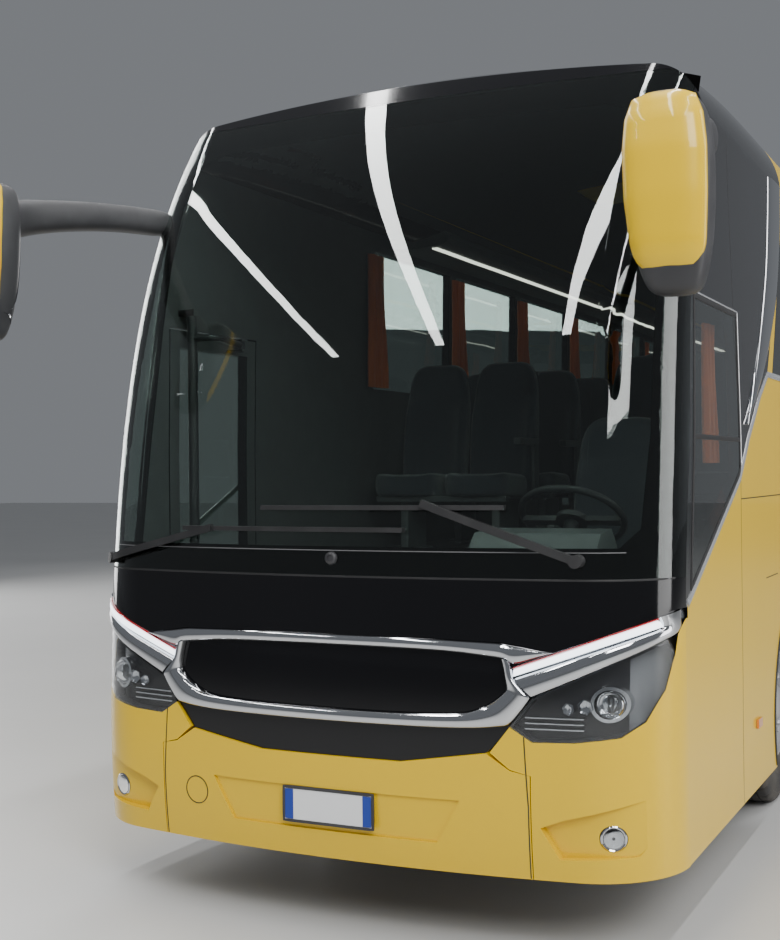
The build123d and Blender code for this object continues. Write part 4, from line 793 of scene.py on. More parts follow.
def rings_piece(title, rings, material, levels=2, body="coach"):
    """Rings of points joined to a tube with closed ends, smoothed by subdivision."""
    points = [p for ring in rings for p in ring]
    size = len(rings[0])
    faces = [(k * size + i, k * size + (i + 1) % size, (k + 1) * size + (i + 1) % size, (k + 1) * size + i)
             for k in range(len(rings) - 1) for i in range(size)]
    faces += [tuple(range(size))[::-1], tuple(range((len(rings) - 1) * size, len(rings) * size))]
    piece = new_piece(title, points, faces, material, body, smooth=180)
    piece.modifiers.new("smooth", "SUBSURF").levels = levels
    piece.modifiers["smooth"].render_levels = levels
    return piece


def shown_tree(piece):
    """A search tree over a piece as its modifiers show it."""
    graph = bpy.context.evaluated_depsgraph_get()
    mesh = piece.evaluated_get(graph).to_mesh()
    tree = BVHTree.FromPolygons([piece.matrix_world @ v.co for v in mesh.vertices],
                                [list(face.vertices) for face in mesh.polygons])
    piece.evaluated_get(graph).to_mesh_clear()
    return tree


CAP_FOOT, CAP_HEAD, CAP_TURN, CAP_LEAN = 2.402, 2.966, 74.0, -4.0


def cap_piece(title, side):
    """The painted cap: the head's own rings, a little larger, over the front half of their turn."""
    table = np.array(HEAD_RINGS)
    rows, columns, points = 26, 24, []
    for k in range(rows + 1):
        height = CAP_FOOT + (CAP_HEAD - CAP_FOOT) * k / rows
        across, half_wide, half_deep, behind = (
            np.interp(height, table[:, 0], table[:, column]) for column in (1, 2, 3, 4))
        low = min(1.0, 0.55 + (height - CAP_FOOT) / 0.11)
        for i in range(columns + 1):
            share = 2 * i / columns - 1
            lift = -0.004 if k in (0, rows) or i in (0, columns) else 0.004
            angle = math.radians(-90 + CAP_LEAN * side + CAP_TURN * low * share)
            c, s = superellipse(angle, 3.2)
            points.append((side * across + c * (half_wide + lift),
                           FRONT + behind + s * (half_deep + lift), height))
    faces = sheet_faces(rows, columns)
    cap = new_piece(title, points, faces, YELLOW, smooth=60)
    if cap.data.polygons[len(faces) // 2].normal.y > 0:
        cap.data.flip_normals()
    return cap


MIRROR_GLASS = finish("mirror_glass", (0.80, 0.82, 0.84), 0.03, 1.0, tone=0.03)
for side, label in SIDES:
    turn = [superellipse(2 * math.pi * i / AROUND, 3.2) for i in range(AROUND)]
    rings = [[Vector((side * (across + half_wide * c), FRONT + behind + half_deep * s, height))
              for c, s in turn] for height, across, half_wide, half_deep, behind in HEAD_RINGS]
    head = rings_piece(f"mirror_head_{label}", rings, DARK)
    spine = [Vector((side * row[0], FRONT + row[1], row[2])) for row in HORN_RINGS]
    rings = []
    for i, (across, behind, height, half_wide, half_high) in enumerate(HORN_RINGS):
        along = (spine[min(i + 1, len(spine) - 1)] - spine[max(i - 1, 0)]).normalized()
        level_way = along.cross(Vector((0, 0, 1))).normalized()
        lift_way = level_way.cross(along)
        turn = [superellipse(2 * math.pi * k / AROUND, 2.6) for k in range(AROUND)]
        rings.append([spine[i] + level_way * half_wide * c + lift_way * half_high * s for c, s in turn])
    horn = rings_piece(f"mirror_horn_{label}", rings, DARK)
    bpy.context.view_layer.update()
    head_tree = shown_tree(head)

    def behind_head(x, z, tree=head_tree):
        """The head's skin at a place in front view, seen from behind."""
        middle = FRONT - 0.30
        place, normal, _, _ = tree.ray_cast(Vector((x, middle + 1.0, z)), Vector((0, -1.0, 0)))
        return (place, normal) if place is not None else (Vector((x, middle, z)), Vector((0, 1.0, 0)))

    cap = cap_piece(f"mirror_cap_{label}", side)
    glass_line = [(side * x, z) for x, z in (
        (1.33, 2.40), (1.51, 2.40), (1.53, 2.44), (1.53, 2.80),
        (1.50, 2.86), (1.34, 2.86), (1.31, 2.80), (1.31, 2.44))]
    patch(f"mirror_glass_{label}", glass_line, behind_head, 0.002, 0.004, MIRROR_GLASS, cell=0.03)
    for piece in (head, horn):
        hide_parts("mirrors")
    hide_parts("mirror_caps")
print("mirrors reach", round(FRONT - 0.301 - 0.120, 3))

# %% [markdown]
# On the sides, a silver line climbs from the lamp to the belt and runs along it to the tail. A wide
# bright bracket rises from it behind the cab. What crosses the front door is cut at its edges, and
# the part on the leaf rides with the leaf.

# %% Side trims
DIAGONAL = [(0.462, 1.272), (1.449, 1.732), (1.661, 1.917), (1.958, 2.119), (2.170, 2.231), (12.02, 2.231)]
# columns: rear edge behind the front and height, fore edge behind the front and height
BRACKET = [(1.597, 1.969, 1.592, 1.973), (1.680, 2.018, 1.665, 2.038), (1.770, 2.070, 1.750, 2.110),
           (1.950, 2.165, 1.880, 2.250), (2.147, 2.301, 1.990, 2.390), (2.315, 2.450, 2.109, 2.550),
           (2.494, 2.647, 2.227, 2.752), (2.610, 2.890, 2.300, 2.990), (2.670, 3.080, 2.335, 3.140),
           (2.700, 3.232, 2.350, 3.232)]
DOOR_AHEAD, DOOR_BEHIND = 0.704, 1.466


def cut_line(path, low, high):
    """The stretch of a rising line between two distances behind the front."""
    def height(at):
        for (y0, z0), (y1, z1) in zip(path, path[1:]):
            if y0 <= at <= y1:
                return z0 + (z1 - z0) * (at - y0) / (y1 - y0)
        return path[-1][1]
    return [(low, height(low))] + [p for p in path if low < p[0] < high] + [(high, height(high))]


ribbon("silver_line_left", DIAGONAL, on_side(1), 0.015, 0.006, SILVER, step=0.06)
# columns: part, front end, rear end, body
RIGHT_LINE = (("ahead", 0.462, DOOR_AHEAD - 0.006, "coach"),
              ("door", DOOR_AHEAD + 0.006, DOOR_BEHIND - 0.006, "front_door"),
              ("behind", DOOR_BEHIND + 0.006, 12.02, "coach"))
for part, low, high, body in RIGHT_LINE:
    ribbon(f"silver_line_right_{part}", cut_line(DIAGONAL, low, high), on_side(-1), 0.015, 0.006, SILVER,
           body=body, step=0.06)
for side, label in SIDES:
    band(f"cab_bracket_{label}", BRACKET, on_side(side), 0.009, 0.006, CHROME, step=0.03, sink=-0.004)

# %% [markdown]
# Fine seams show how the sides are built: panel joints, the driver's window in its black frame, the
# rubber lips of the wheel arches, and a flush handle on every luggage flap.

# %% Seams, frames, lips and handles
LEFT_SEAMS = [("post", [(1.470, 0.305), (1.470, 1.735)]), ("panel", [(1.472, 1.641), (12.02, 1.641)]),
              ("cab_post", [(1.478, 1.765), (1.405, 2.40), (1.372, 2.97), (1.372, 3.235)]),
              ("sill", [(2.05, 1.250), (2.36, 1.250)])]
for part, path in LEFT_SEAMS:
    ribbon(f"seam_left_{part}", path, on_side(1), 0.0028, 0.0006, SEAL, step=0.08)
for part, low, high in (("front", 1.474, 6.342), ("rear", 7.128, 12.02)):
    ribbon(f"seam_right_{part}", [(low, 1.641), (high, 1.641)], on_side(-1), 0.0028, 0.0006, SEAL, step=0.08)
WINDOW_LINE = [(0.522, 1.325), (0.672, 2.446), (1.456, 2.446), (1.456, 1.772), (1.437, 1.750)]
ribbon("driver_window_frame", WINDOW_LINE, on_side(1), 0.011, 0.004, SEAL, closed=True)
ribbon("driver_window_rim", [(0.690, 2.463), (1.478, 2.463), (1.478, 1.80)], on_side(1), 0.0035, 0.003,
       SILVER)
ribbon("driver_window_split", [(0.600, 1.90), (1.452, 1.90)], on_side(1), 0.010, 0.004, SEAL)
TYRE_R, AXLES = 0.522, (2.845, 8.925)
for side, label in SIDES:
    for axle, place in zip(AXLES, ("front", "rear")):
        lip = [(axle - 0.606 * math.cos(math.radians(a)), TYRE_R + 0.606 * math.sin(math.radians(a)))
               for a in range(-20, 201, 5)]
        ribbon(f"arch_lip_{label}_{place}", lip, on_side(side), 0.010, 0.007, SEAL)
# columns: flap body, side, front edge, rear edge
FLAPS = [("left_front", 1, 3.60, 5.06), ("left_middle", 1, 5.08, 6.56), ("left_rear", 1, 6.58, 8.16),
         ("right_front", -1, 3.60, 5.46), ("right_rear", -1, 7.24, 8.16)]
for label, side, low, high in FLAPS:
    middle = (low + high) / 2
    handle = [(middle - 0.09, 0.395), (middle + 0.09, 0.395), (middle + 0.10, 0.405), (middle + 0.10, 0.430),
              (middle + 0.09, 0.440), (middle - 0.09, 0.440), (middle - 0.10, 0.430), (middle - 0.10, 0.405)]
    patch(f"flap_handle_{label}", handle, on_side(side), 0.006, 0.008, DARK, body=f"flap_{label}", cell=0.05)
for label, body, low in (("front", "front_door", 0.708), ("middle", "middle_door", 6.358)):
    handle = [(low + 0.60, 1.06), (low + 0.71, 1.06), (low + 0.72, 1.07), (low + 0.72, 1.11),
              (low + 0.71, 1.12), (low + 0.60, 1.12), (low + 0.59, 1.11), (low + 0.59, 1.07)]
    patch(f"door_handle_{label}", handle, on_side(-1), 0.006, 0.008, DARK, body=body, cell=0.04)
print("side trims and seams in place")

# %% [markdown]
# A coach seat is foam under plush: a crowned cushion and a back with side bolsters, a sunken middle
# and a rounded head. Rings of points give each form, a subdivision surface softens it, and one pair
# of seats serves every row. Legs, armrests, tables and grips are one hard piece per pair.

# %% Passenger seats
SEAT_W, SEAT_GAP, AISLE, CUSHION_TOP = 0.430, 0.014, 0.215, 1.760
ROWS, PITCH, FIRST_ROW, BESIDE_STAIRS = 12, 0.800, 2.500, (5.63, 7.14)
# columns: height over the cushion's top, share of the full size
CUSHION_RINGS = [(-0.128, 0.30), (-0.129, 0.80), (-0.122, 0.94), (-0.095, 0.985), (-0.055, 1.0),
                 (-0.022, 0.985), (-0.006, 0.945), (-0.008, 0.90), (0.002, 0.84), (0.006, 0.60),
                 (0.004, 0.25)]
# columns: height, middle behind the seat's front, half width, half depth, bolster
BACK_RINGS = [
    (1.640, 0.500, 0.150, 0.022, 0.0), (1.648, 0.500, 0.192, 0.038, 0.0),
    (1.700, 0.508, 0.205, 0.050, 0.012), (1.790, 0.520, 0.209, 0.052, 0.022),
    (1.900, 0.535, 0.211, 0.050, 0.026), (2.010, 0.549, 0.211, 0.048, 0.026),
    (2.110, 0.563, 0.209, 0.047, 0.022), (2.170, 0.571, 0.206, 0.046, 0.014),
    (2.215, 0.577, 0.202, 0.045, 0.004), (2.235, 0.580, 0.200, 0.041, 0.002),
    (2.260, 0.584, 0.198, 0.045, 0.004), (2.330, 0.594, 0.188, 0.046, 0.008),
    (2.390, 0.602, 0.165, 0.043, 0.006), (2.420, 0.606, 0.135, 0.036, 0.0),
    (2.434, 0.608, 0.090, 0.020, 0.0),
]


def seat_rings(middle, cushion_top=CUSHION_TOP, wide=1.0, rows=BACK_RINGS):
    """The ring stacks of one seat's cushion and back; places are (across, behind, height)."""
    turns = [superellipse(2 * math.pi * i / 24, 4.0) for i in range(24)]
    low = []
    for lift, share in CUSHION_RINGS:
        ring = []
        for c, s in turns:
            across, behind = c * SEAT_W * 0.492 * share * wide, 0.225 + s * 0.222 * share
            bolster = 0.014 * math.exp(-((abs(c) * share - 0.80) / 0.14) ** 2) if lift > -0.03 else 0.0
            ring.append((middle + across, behind, cushion_top + lift + bolster - 0.05 * behind))
        low.append(ring)
    tall = []
    for height, behind, half_wide, half_deep, bolster in rows:
        ring = []
        for c, s in turns:
            ahead_of = bolster * (2.2 * math.exp(-((abs(c) - 0.86) / 0.2) ** 2) - 0.6) if s < -0.3 else 0.0
            ring.append((middle + c * half_wide * wide, behind + s * half_deep - ahead_of, height))
        tall.append(ring)
    return low, tall


def stacked(stacks):
    """Closed tubes from stacks of rings, as points and faces."""
    points, faces = [], []
    for rings in stacks:
        start, size = len(points), len(rings[0])
        points += [p for ring in rings for p in ring]
        faces += tube_faces(len(rings), size, start)
        top = start + (len(rings) - 1) * size
        faces += [tuple(range(start, start + size))[::-1], tuple(range(top, top + size))]
    return points, faces


def boxes_mesh(title, rows, material):
    """One mesh of several boxes: (x0, x1, y0, y1, z0, z1) each."""
    points, faces = [], []
    for x0, x1, y0, y1, z0, z1 in rows:
        start = len(points)
        points += [(x, y, z) for z in (z0, z1) for y in (y0, y1) for x in (x0, x1)]
        faces += [tuple(start + i for i in face) for face in
                  ((0, 2, 3, 1), (4, 5, 7, 6), (0, 1, 5, 4), (2, 6, 7, 3), (0, 4, 6, 2), (1, 3, 7, 5))]
    mesh = bpy.data.meshes.new(title)
    mesh.from_pydata(points, [], faces)
    mesh.shade_smooth()
    mesh.materials.append(material)
    return mesh


def placed(title, mesh, spot, body="coach", bevel=0.0, levels=0):
    """An object of a shared mesh at a place, with softened edges."""
    piece = bpy.data.objects.new(title, mesh)
    piece.location = spot
    bpy.context.scene.collection.objects.link(piece)
    if bevel:
        softened = piece.modifiers.new("soft edges", "BEVEL")
        softened.width, softened.segments, softened.limit_method = bevel, 2, "ANGLE"
        softened.harden_normals = True
    if levels:
        piece.modifiers.new("smooth", "SUBSURF").levels = levels
        piece.modifiers["smooth"].render_levels = levels
    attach(piece, body)
    return piece


def seat_meshes(side):
    """The soft and the hard mesh of one pair of seats, from the aisle towards the wall."""
    stacks, hard = [], []
    for place in range(2):
        near = AISLE + place * (SEAT_W + SEAT_GAP)
        stacks += seat_rings(near + SEAT_W / 2)
        hard += [(near + 0.05, near + SEAT_W - 0.05, 0.600, 0.614, 1.93, 2.13),
                 (near + 0.03, near + SEAT_W - 0.03, 0.470, 0.500, 1.600, 1.640)]
    far = AISLE + 2 * SEAT_W + SEAT_GAP
    # two rails, two legs on their feet, the armrest on its post, and the grip
    hard += [(AISLE + 0.03, far - 0.03, 0.06, 0.12, 1.600, 1.636),
             (AISLE + 0.03, far - 0.03, 0.36, 0.42, 1.600, 1.636),
             (AISLE + 0.10, AISLE + 0.15, 0.14, 0.40, 1.325, 1.604),
             (AISLE + 0.08, AISLE + 0.17, 0.10, 0.45, 1.310, 1.326),
             (far - 0.20, far - 0.15, 0.14, 0.40, 1.325, 1.604),
             (far - 0.22, far - 0.13, 0.10, 0.45, 1.310, 1.326),
             (AISLE - 0.012, AISLE + 0.034, 0.20, 0.52, 1.925, 1.965),
             (AISLE - 0.008, AISLE + 0.014, 0.44, 0.52, 1.640, 1.930),
             (AISLE + 0.03, AISLE + 0.12, 0.625, 0.645, 2.345, 2.372)]
    points, faces = stacked([[[(side * x, y, z) for x, y, z in ring] for ring in rings] for rings in stacks])
    soft = bpy.data.meshes.new("seat_pair")
    soft.from_pydata(points, [], faces)
    soft.materials.append(PLUSH)
    rows = [(min(side * x0, side * x1), max(side * x0, side * x1), *rest) for x0, x1, *rest in hard]
    turn_outwards(soft)
    soft.shade_smooth()
    return soft, boxes_mesh("seat_frame", rows, GREY)


seat_count = 0
for side, label in SIDES:
    soft, hard = seat_meshes(side)
    for row in range(ROWS):
        behind = FIRST_ROW + row * PITCH
        if side < 0 and BESIDE_STAIRS[0] < behind < BESIDE_STAIRS[1]:
            continue
        pair = placed(f"seat_pair_{label}_{row + 1}", soft, (0, FRONT + behind, 0), levels=1)
        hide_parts("seats")
        placed(f"seat_frame_{label}_{row + 1}", hard, (0, FRONT + behind, 0), bevel=0.006)
        seat_count += 1
print("seat pairs:", seat_count)

# %% [markdown]
# The driver's seat uses the same two forms, lower and on a sprung pedestal. Beside it the dashboard
# gets two dials, a screen and a pad on its top, and the wheel keeps its CAD form.

# %% Driver's place
DRIVER_X, DRIVER_CUSHION, DRIVER_BEHIND = 0.620, 1.318, 1.335
LOWER_BY, DRIVER_WIDER = 0.400, 1.12
driver_rows = [(height - LOWER_BY, *rest) for height, *rest in BACK_RINGS]
low, tall = seat_rings(DRIVER_X, DRIVER_CUSHION, DRIVER_WIDER, driver_rows)
points, faces = stacked([low, tall])
driver = new_piece("driver_seat_pads", [(x, y + FRONT + DRIVER_BEHIND, z) for x, y, z in points], faces,
                   PLUSH, smooth=180)
driver.modifiers.new("smooth", "SUBSURF").render_levels = 1
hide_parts("driver_seat")
pedestal = boxes_mesh("driver_pedestal", [
    (DRIVER_X - 0.19, DRIVER_X + 0.19, 1.38, 1.76, 1.150, 1.195),
    (DRIVER_X - 0.15, DRIVER_X + 0.15, 1.42, 1.72, 0.905, 1.150),
    (DRIVER_X - 0.19, DRIVER_X + 0.19, 1.38, 1.76, 0.862, 0.905),
    (DRIVER_X - 0.27, DRIVER_X - 0.235, 1.55, 1.86, 1.50, 1.535),
    (DRIVER_X + 0.235, DRIVER_X + 0.27, 1.55, 1.86, 1.50, 1.535)], GREY)
placed("driver_pedestal", pedestal, (0, FRONT, 0), bevel=0.008)
DASH_TREE = skin_tree(["dashboard"])


def on_dash(x, behind):
    """The dashboard's upper skin at a place seen from above."""
    place, normal, _, _ = DASH_TREE.ray_cast(Vector((x, FRONT + behind, 2.5)), Vector((0, 0, -1)))
    return (place, normal) if place is not None else (Vector((x, FRONT + behind, 1.4)), Vector((0, 0, 1)))


DIAL = finish("dial_face", (0.01, 0.01, 0.012), 0.2, tone=0.1,
              sockets={"Emission Color": (0.35, 0.55, 0.8, 1.0), "Emission Strength": 0.15})
for shift in (-0.11, 0.11):
    spot, normal = on_dash(DRIVER_X + shift, 0.845)
    dome(f"dial_{'left' if shift < 0 else 'right'}", spot, normal,
         [(0.062, -0.004), (0.062, 0.006), (0.058, 0.009), (0.054, 0.004), (0.001, 0.003)], DIAL, turns=40)
patch("dash_screen", [(0.06, 0.70), (0.28, 0.70), (0.28, 0.84), (0.06, 0.84)], on_dash, 0.006, 0.006,
      DIAL, cell=0.05)
patch("dash_top_pad", [(-0.40, 0.30), (1.05, 0.30), (1.05, 0.46), (-0.40, 0.46)], on_dash, 0.008, 0.02,
      DARK, cell=0.08)
print("driver's place dressed")

# %% [markdown]
# Curtains hang pleated at the window posts, orange as in the photo, and one hangs behind the
# driver's window. A pleat is a wave in plan that spreads a little towards the hem.

# %% Curtains
CURTAIN = finish("curtain_cloth", (0.70, 0.14, 0.02), 0.85, tone=0.3, sockets={"Sheen Weight": 0.3},
                 bump=("weave", "Weave", "Thread_scale", 700.0, 0.3, 0.0006))
CURTAIN_TOP, CURTAIN_FOOT, PLEATS, PER_PLEAT = 3.090, 2.290, 7, 8


def curtain(title, spot, half, depth, top, foot, across):
    """A gathered curtain at a place; across is the way that its width runs, in plan."""
    rows, count = 14, PLEATS * PER_PLEAT
    side_way = Vector((-across.y, across.x, 0))
    points = []
    for k in range(rows + 1):
        share = k / rows
        spread = half * (0.82 + 0.18 * share) * (1 - 0.16 * math.sin(math.pi * min(1, share / 0.8)))
        for i in range(count + 1):
            t = i / count
            wave = math.sin(2 * math.pi * PLEATS * t) + 0.35 * math.sin(2 * math.pi * (2.3 * t + 0.6 * share))
            place = spot + across * spread * (2 * t - 1) + side_way * depth * (0.75 + 0.25 * share) * wave
            points.append((place.x, place.y, top + (foot - top) * share))
    piece = new_piece(title, points, sheet_faces(rows, count), CURTAIN, smooth=180)
    return piece


POSTS = [2.78, 4.06, 5.34, 6.62, 7.90, 9.18, 10.46, 11.75]
for side, label in SIDES:
    for number, behind in enumerate(POSTS):
        curtain(f"curtain_{label}_{number + 1}", Vector((side * 1.150, FRONT + behind, 0)), 0.115, 0.018,
                CURTAIN_TOP, CURTAIN_FOOT, Vector((0, 1, 0)))
curtain("curtain_driver", Vector((1.165, FRONT + 1.33, 0)), 0.10, 0.016, 2.40, 1.80, Vector((0, 1, 0)))
print("curtains:", 2 * len(POSTS) + 1)

# %% [markdown]
# Over the seats run luggage racks with a rounded nose and a lamp strip. Each is one swept profile.

# %% Luggage racks
LAMP_STRIP = finish("cabin_lamp", (0.9, 0.9, 0.85), 0.4, tone=0.05,
                    sockets={"Emission Color": (1.0, 0.95, 0.85, 1.0), "Emission Strength": 2.5})
# columns: across, height
RACK = [(1.13, 3.205), (1.13, 3.150), (0.98, 3.140), (0.82, 3.150), (0.765, 3.165), (0.745, 3.190),
        (0.745, 3.215), (0.765, 3.235), (0.80, 3.225), (0.98, 3.185)]
RACK_START, RACK_END = 2.95, 11.60
for side, label in SIDES:
    stops = list(np.arange(RACK_START, RACK_END, 0.30)) + [RACK_END]
    points = [(side * x, FRONT + at, z) for at in stops for x, z in RACK]
    size = len(RACK)
    faces = tube_faces(len(stops), size)
    faces += [tuple(range(size)), tuple(range((len(stops) - 1) * size, len(stops) * size))[::-1]]
    rack = new_piece(f"luggage_rack_{label}", points, faces, LINING, smooth=35)
    turn_outwards(rack.data)
    strip = boxes_mesh(f"rack_lamp_{label}",
                       [(side * 0.86 - 0.02, side * 0.86 + 0.02, 3.0, 11.5, 3.138, 3.146)], LAMP_STRIP)
    placed(f"rack_lamp_{label}", strip, (0, FRONT, 0), bevel=0.003)

# %% [markdown]
# A tyre is a turned profile on a fine grid, so its tread can be cut by moving points inwards: four
# grooves run round it, and shoulder blocks are parted by slots. One mesh serves all six tyres.

# %% Tyres
# columns: half width, radius
SIDEWALL = [(0.1120, 0.5185), (0.1195, 0.5140), (0.1280, 0.5050), (0.1345, 0.4920), (0.1375, 0.4770),
            (0.1400, 0.4690), (0.1385, 0.4660), (0.1430, 0.4450), (0.1465, 0.4300), (0.1475, 0.4160),
            (0.1470, 0.3950), (0.1452, 0.3740), (0.1462, 0.3710), (0.1462, 0.3670), (0.1440, 0.3640),
            (0.1415, 0.3460), (0.1370, 0.3250), (0.1340, 0.3180), (0.1345, 0.3130), (0.1310, 0.3060),
            (0.1240, 0.2930), (0.1155, 0.2865)]
# columns: half width, depth under the tread's top
RIBS = [(0.0, 0.0), (0.024, 0.0), (0.026, 0.011), (0.034, 0.011), (0.036, 0.0), (0.068, 0.0), (0.070, 0.011),
        (0.078, 0.011), (0.080, 0.0), (0.100, 0.0)]
half_profile = [(x, TYRE_R - drop - 0.0028 * (x / 0.1) ** 2) for x, drop in RIBS] + SIDEWALL
profile = [(-x, r) for x, r in half_profile[:0:-1]] + half_profile
AROUND_TYRE, SLOT_DEPTH = 216, 0.009
points = []
for i in range(AROUND_TYRE):
    angle = 2 * math.pi * i / AROUND_TYRE
    for x, r in profile:
        shoulder = i % 6 == 0 and 0.079 < abs(x) < 0.133
        inner_rib = (i + 3) % 6 == 0 and 0.036 < abs(x) < 0.069 and r > 0.51
        depth = r - (SLOT_DEPTH if (shoulder or inner_rib) and r > 0.495 else 0.0)
        points.append((x, math.cos(angle) * depth, math.sin(angle) * depth))
size = len(profile)
faces = [(i * size + j, i * size + j + 1, after * size + j + 1, after * size + j)
         for i in range(AROUND_TYRE) for after in [(i + 1) % AROUND_TYRE] for j in range(size - 1)]
tyre_mesh = bpy.data.meshes.new("tyre")
tyre_mesh.from_pydata(points, [], faces)
if tyre_mesh.polygons[size // 2].normal.dot(Vector((0, 1, 0))) < 0:
    tyre_mesh.flip_normals()
tyre_mesh.shade_smooth()
tyre_mesh.set_sharp_from_angle(angle=math.radians(32))
tyre_mesh.materials.append(RUBBER)
FRONT_X, TWIN_OUT, TWIN_IN = 1.050, 1.080, 0.745
# columns: name, body, CAD node, middle across, behind the front
TYRES = [(f"{name}_{label}", f"{body}_{label}", f"{node}_{label}", side * across, behind)
         for side, label in SIDES for name, body, node, across, behind in (
             ("tyre_front", "front_wheel", "front_tyre", FRONT_X, AXLES[0]),
             ("tyre_outer", "drive_wheels", "drive_tyres", TWIN_OUT, AXLES[1]),
             ("tyre_inner", "drive_wheels", "drive_tyres", TWIN_IN, AXLES[1]))]
for name, body, node, across, behind in TYRES:
    tyre = placed(name, tyre_mesh, (across, FRONT + behind, TYRE_R), body=body)
    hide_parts(node)
print("tyres:", len(TYRES), "faces each:", len(tyre_mesh.polygons))

# %% [markdown]
# Ten nuts with their studs hold each disc, and a domed cap covers the hub. They sit on the disc's
# face, which is dished inwards on the twin wheels.

# %% Wheel nuts and hub caps
NUTS, NUT_RING = 10, 0.150


def fastened(title, face_x, side, behind, body, cap_profile):
    """Nuts, studs and a hub cap on a disc whose face is at face_x, turned to the outside."""
    points, faces = [], []

    def turned(centre, profile, turns, lean=0.0):
        start = len(points)
        for radius, out in profile:
            for i in range(turns):
                angle = 2 * math.pi * i / turns + lean
                points.append((side * (face_x + out), FRONT + behind + centre[0] + radius * math.cos(angle),
                               TYRE_R + centre[1] + radius * math.sin(angle)))
        faces.extend(tube_faces(len(profile), turns, start))
        last = start + (len(profile) - 1) * turns
        faces.append(tuple(range(last, last + turns)))
    for k in range(NUTS):
        angle = 2 * math.pi * (k + 0.5) / NUTS
        centre = (NUT_RING * math.cos(angle), NUT_RING * math.sin(angle))
        turned(centre, [(0.021, -0.003), (0.021, 0.005), (0.0195, 0.006)], 20)
        turned(centre, [(0.0165, 0.005), (0.0165, 0.024), (0.0150, 0.027)], 6, angle)
        turned(centre, [(0.0095, 0.026), (0.0095, 0.037), (0.0080, 0.039)], 14)
    turned((0, 0), cap_profile, 40)
    piece = new_piece(title, points, faces, RIM, body, smooth=35)
    turn_outwards(piece.data)
    return piece


FRONT_CAP = [(0.088, 0.020), (0.088, 0.030), (0.080, 0.038), (0.060, 0.044), (0.030, 0.046), (0.004, 0.046)]
DRIVE_CAP = [(0.098, 0.066), (0.098, 0.074), (0.090, 0.082), (0.060, 0.085), (0.055, 0.092), (0.030, 0.094),
             (0.004, 0.094)]
# how far out the outer face of each disc lies
FRONT_DISC, TWIN_DISC = FRONT_X + 0.100, TWIN_OUT - 0.1675 + 0.014
for side, label in SIDES:
    fastened(f"wheel_nuts_front_{label}", FRONT_DISC, side, AXLES[0], f"front_wheel_{label}", FRONT_CAP)
    fastened(f"wheel_nuts_drive_{label}", TWIN_DISC, side, AXLES[1], f"drive_wheels_{label}", DRIVE_CAP)

# %% [markdown]
# Small things that the photo shows on the bumper: the plate's dark frame and blue end bands, with
# no characters, the round cover of the tow eye, and the seams between the bumper's three parts.

# %% Bumper details
PLATE_TREE = skin_tree(["number_plates"])


def on_plate(x, z):
    """The front plate's face at a place in front view."""
    place, normal, _, _ = PLATE_TREE.ray_cast(Vector((x, FRONT - 1.0, z)), Vector((0, 1, 0)))
    return (place, normal) if place is not None else (Vector((x, PLATE_FACE, z)), Vector((0, -1, 0)))


PLATE_FACE = FRONT - 0.012
BLUE = finish("plate_blue", (0.01, 0.04, 0.32), 0.35, tone=0.08)
plate_span = [(-0.186, -0.150), (0.150, 0.186)]
for label, (low, high) in zip(("right", "left"), plate_span):
    patch(f"plate_band_{label}", [(low, 0.440), (high, 0.440), (high, 0.555), (low, 0.555)], on_plate,
          0.0012, 0, BLUE, cell=0.04, sink=0.0012)
FRAME_LINE = [(-0.192, 0.433), (0.192, 0.433), (0.192, 0.562), (-0.192, 0.562)]
ribbon("plate_frame", FRAME_LINE, lambda x, z: (Vector((x, PLATE_FACE, z)), Vector((0, -1, 0))), 0.006, 0.004,
       DARK, closed=True, step=0.02)


def circle(centre, radius, turns=36):
    """A closed line round a place in front view."""
    return [(centre[0] + radius * math.cos(2 * math.pi * i / turns),
             centre[1] + radius * math.sin(2 * math.pi * i / turns)) for i in range(turns)]


ribbon("tow_cover_seam", circle((-0.622, 0.500), 0.055), on_nose, 0.0022, 0.0006, SEAL, closed=True,
       step=0.01)
for label, turn in (("left", list), ("right", mirrored)):
    ribbon(f"bumper_seam_{label}", turn([(0.790, 0.300), (0.790, 0.560), (0.775, 0.815)]), on_nose, 0.0025,
           0.0006, SEAL)
print("bumper details in place")

# %% [markdown]
# The tail lamps' covers are split as such lamps are: an indicator above, a reversing lamp below and
# thin dark joints between the parts, all landing on the red lamp itself.

# %% Tail lamp parts
TAIL_TREE = skin_tree(["tail_lamps"])
TAIL_LEFT, TAIL_RIGHT = 1.008, 1.162


def on_tail(x, z):
    """The tail lamps' face at a place seen from behind."""
    place, normal, _, _ = TAIL_TREE.ray_cast(Vector((x, 8.0, z)), Vector((0, -1, 0)))
    return (place, normal) if place is not None else on_tail(math.copysign(abs(x) - 0.004, x), z)


# columns: name, foot, top, material
TAIL_PARTS = [("indicator", 1.390, 1.512, AMBER), ("reverse_lamp", 0.868, 0.975, LENS)]
for side, label in SIDES:
    near, far = side * TAIL_LEFT, side * TAIL_RIGHT
    for name, foot, top, material in TAIL_PARTS:
        patch(f"{name}_{label}", [(near, foot), (far, foot), (far, top), (near, top)], on_tail, 0.002, 0,
              material, cell=0.03, sink=0.001)
    for number, height in enumerate((0.982, 1.180, 1.383)):
        ribbon(f"tail_joint_{label}_{number + 1}", [(near, height), (far, height)], on_tail, 0.004, 0.0025,
               SEAL, step=0.02)
print("tail lamp parts:", 2 * len(TAIL_PARTS))

# %% [markdown]
# A plain studio: a pale floor, a soft pale surround and broad lamps. The long lamps overhead give
# the glass and paint the long highlights that tubes in a hall give.

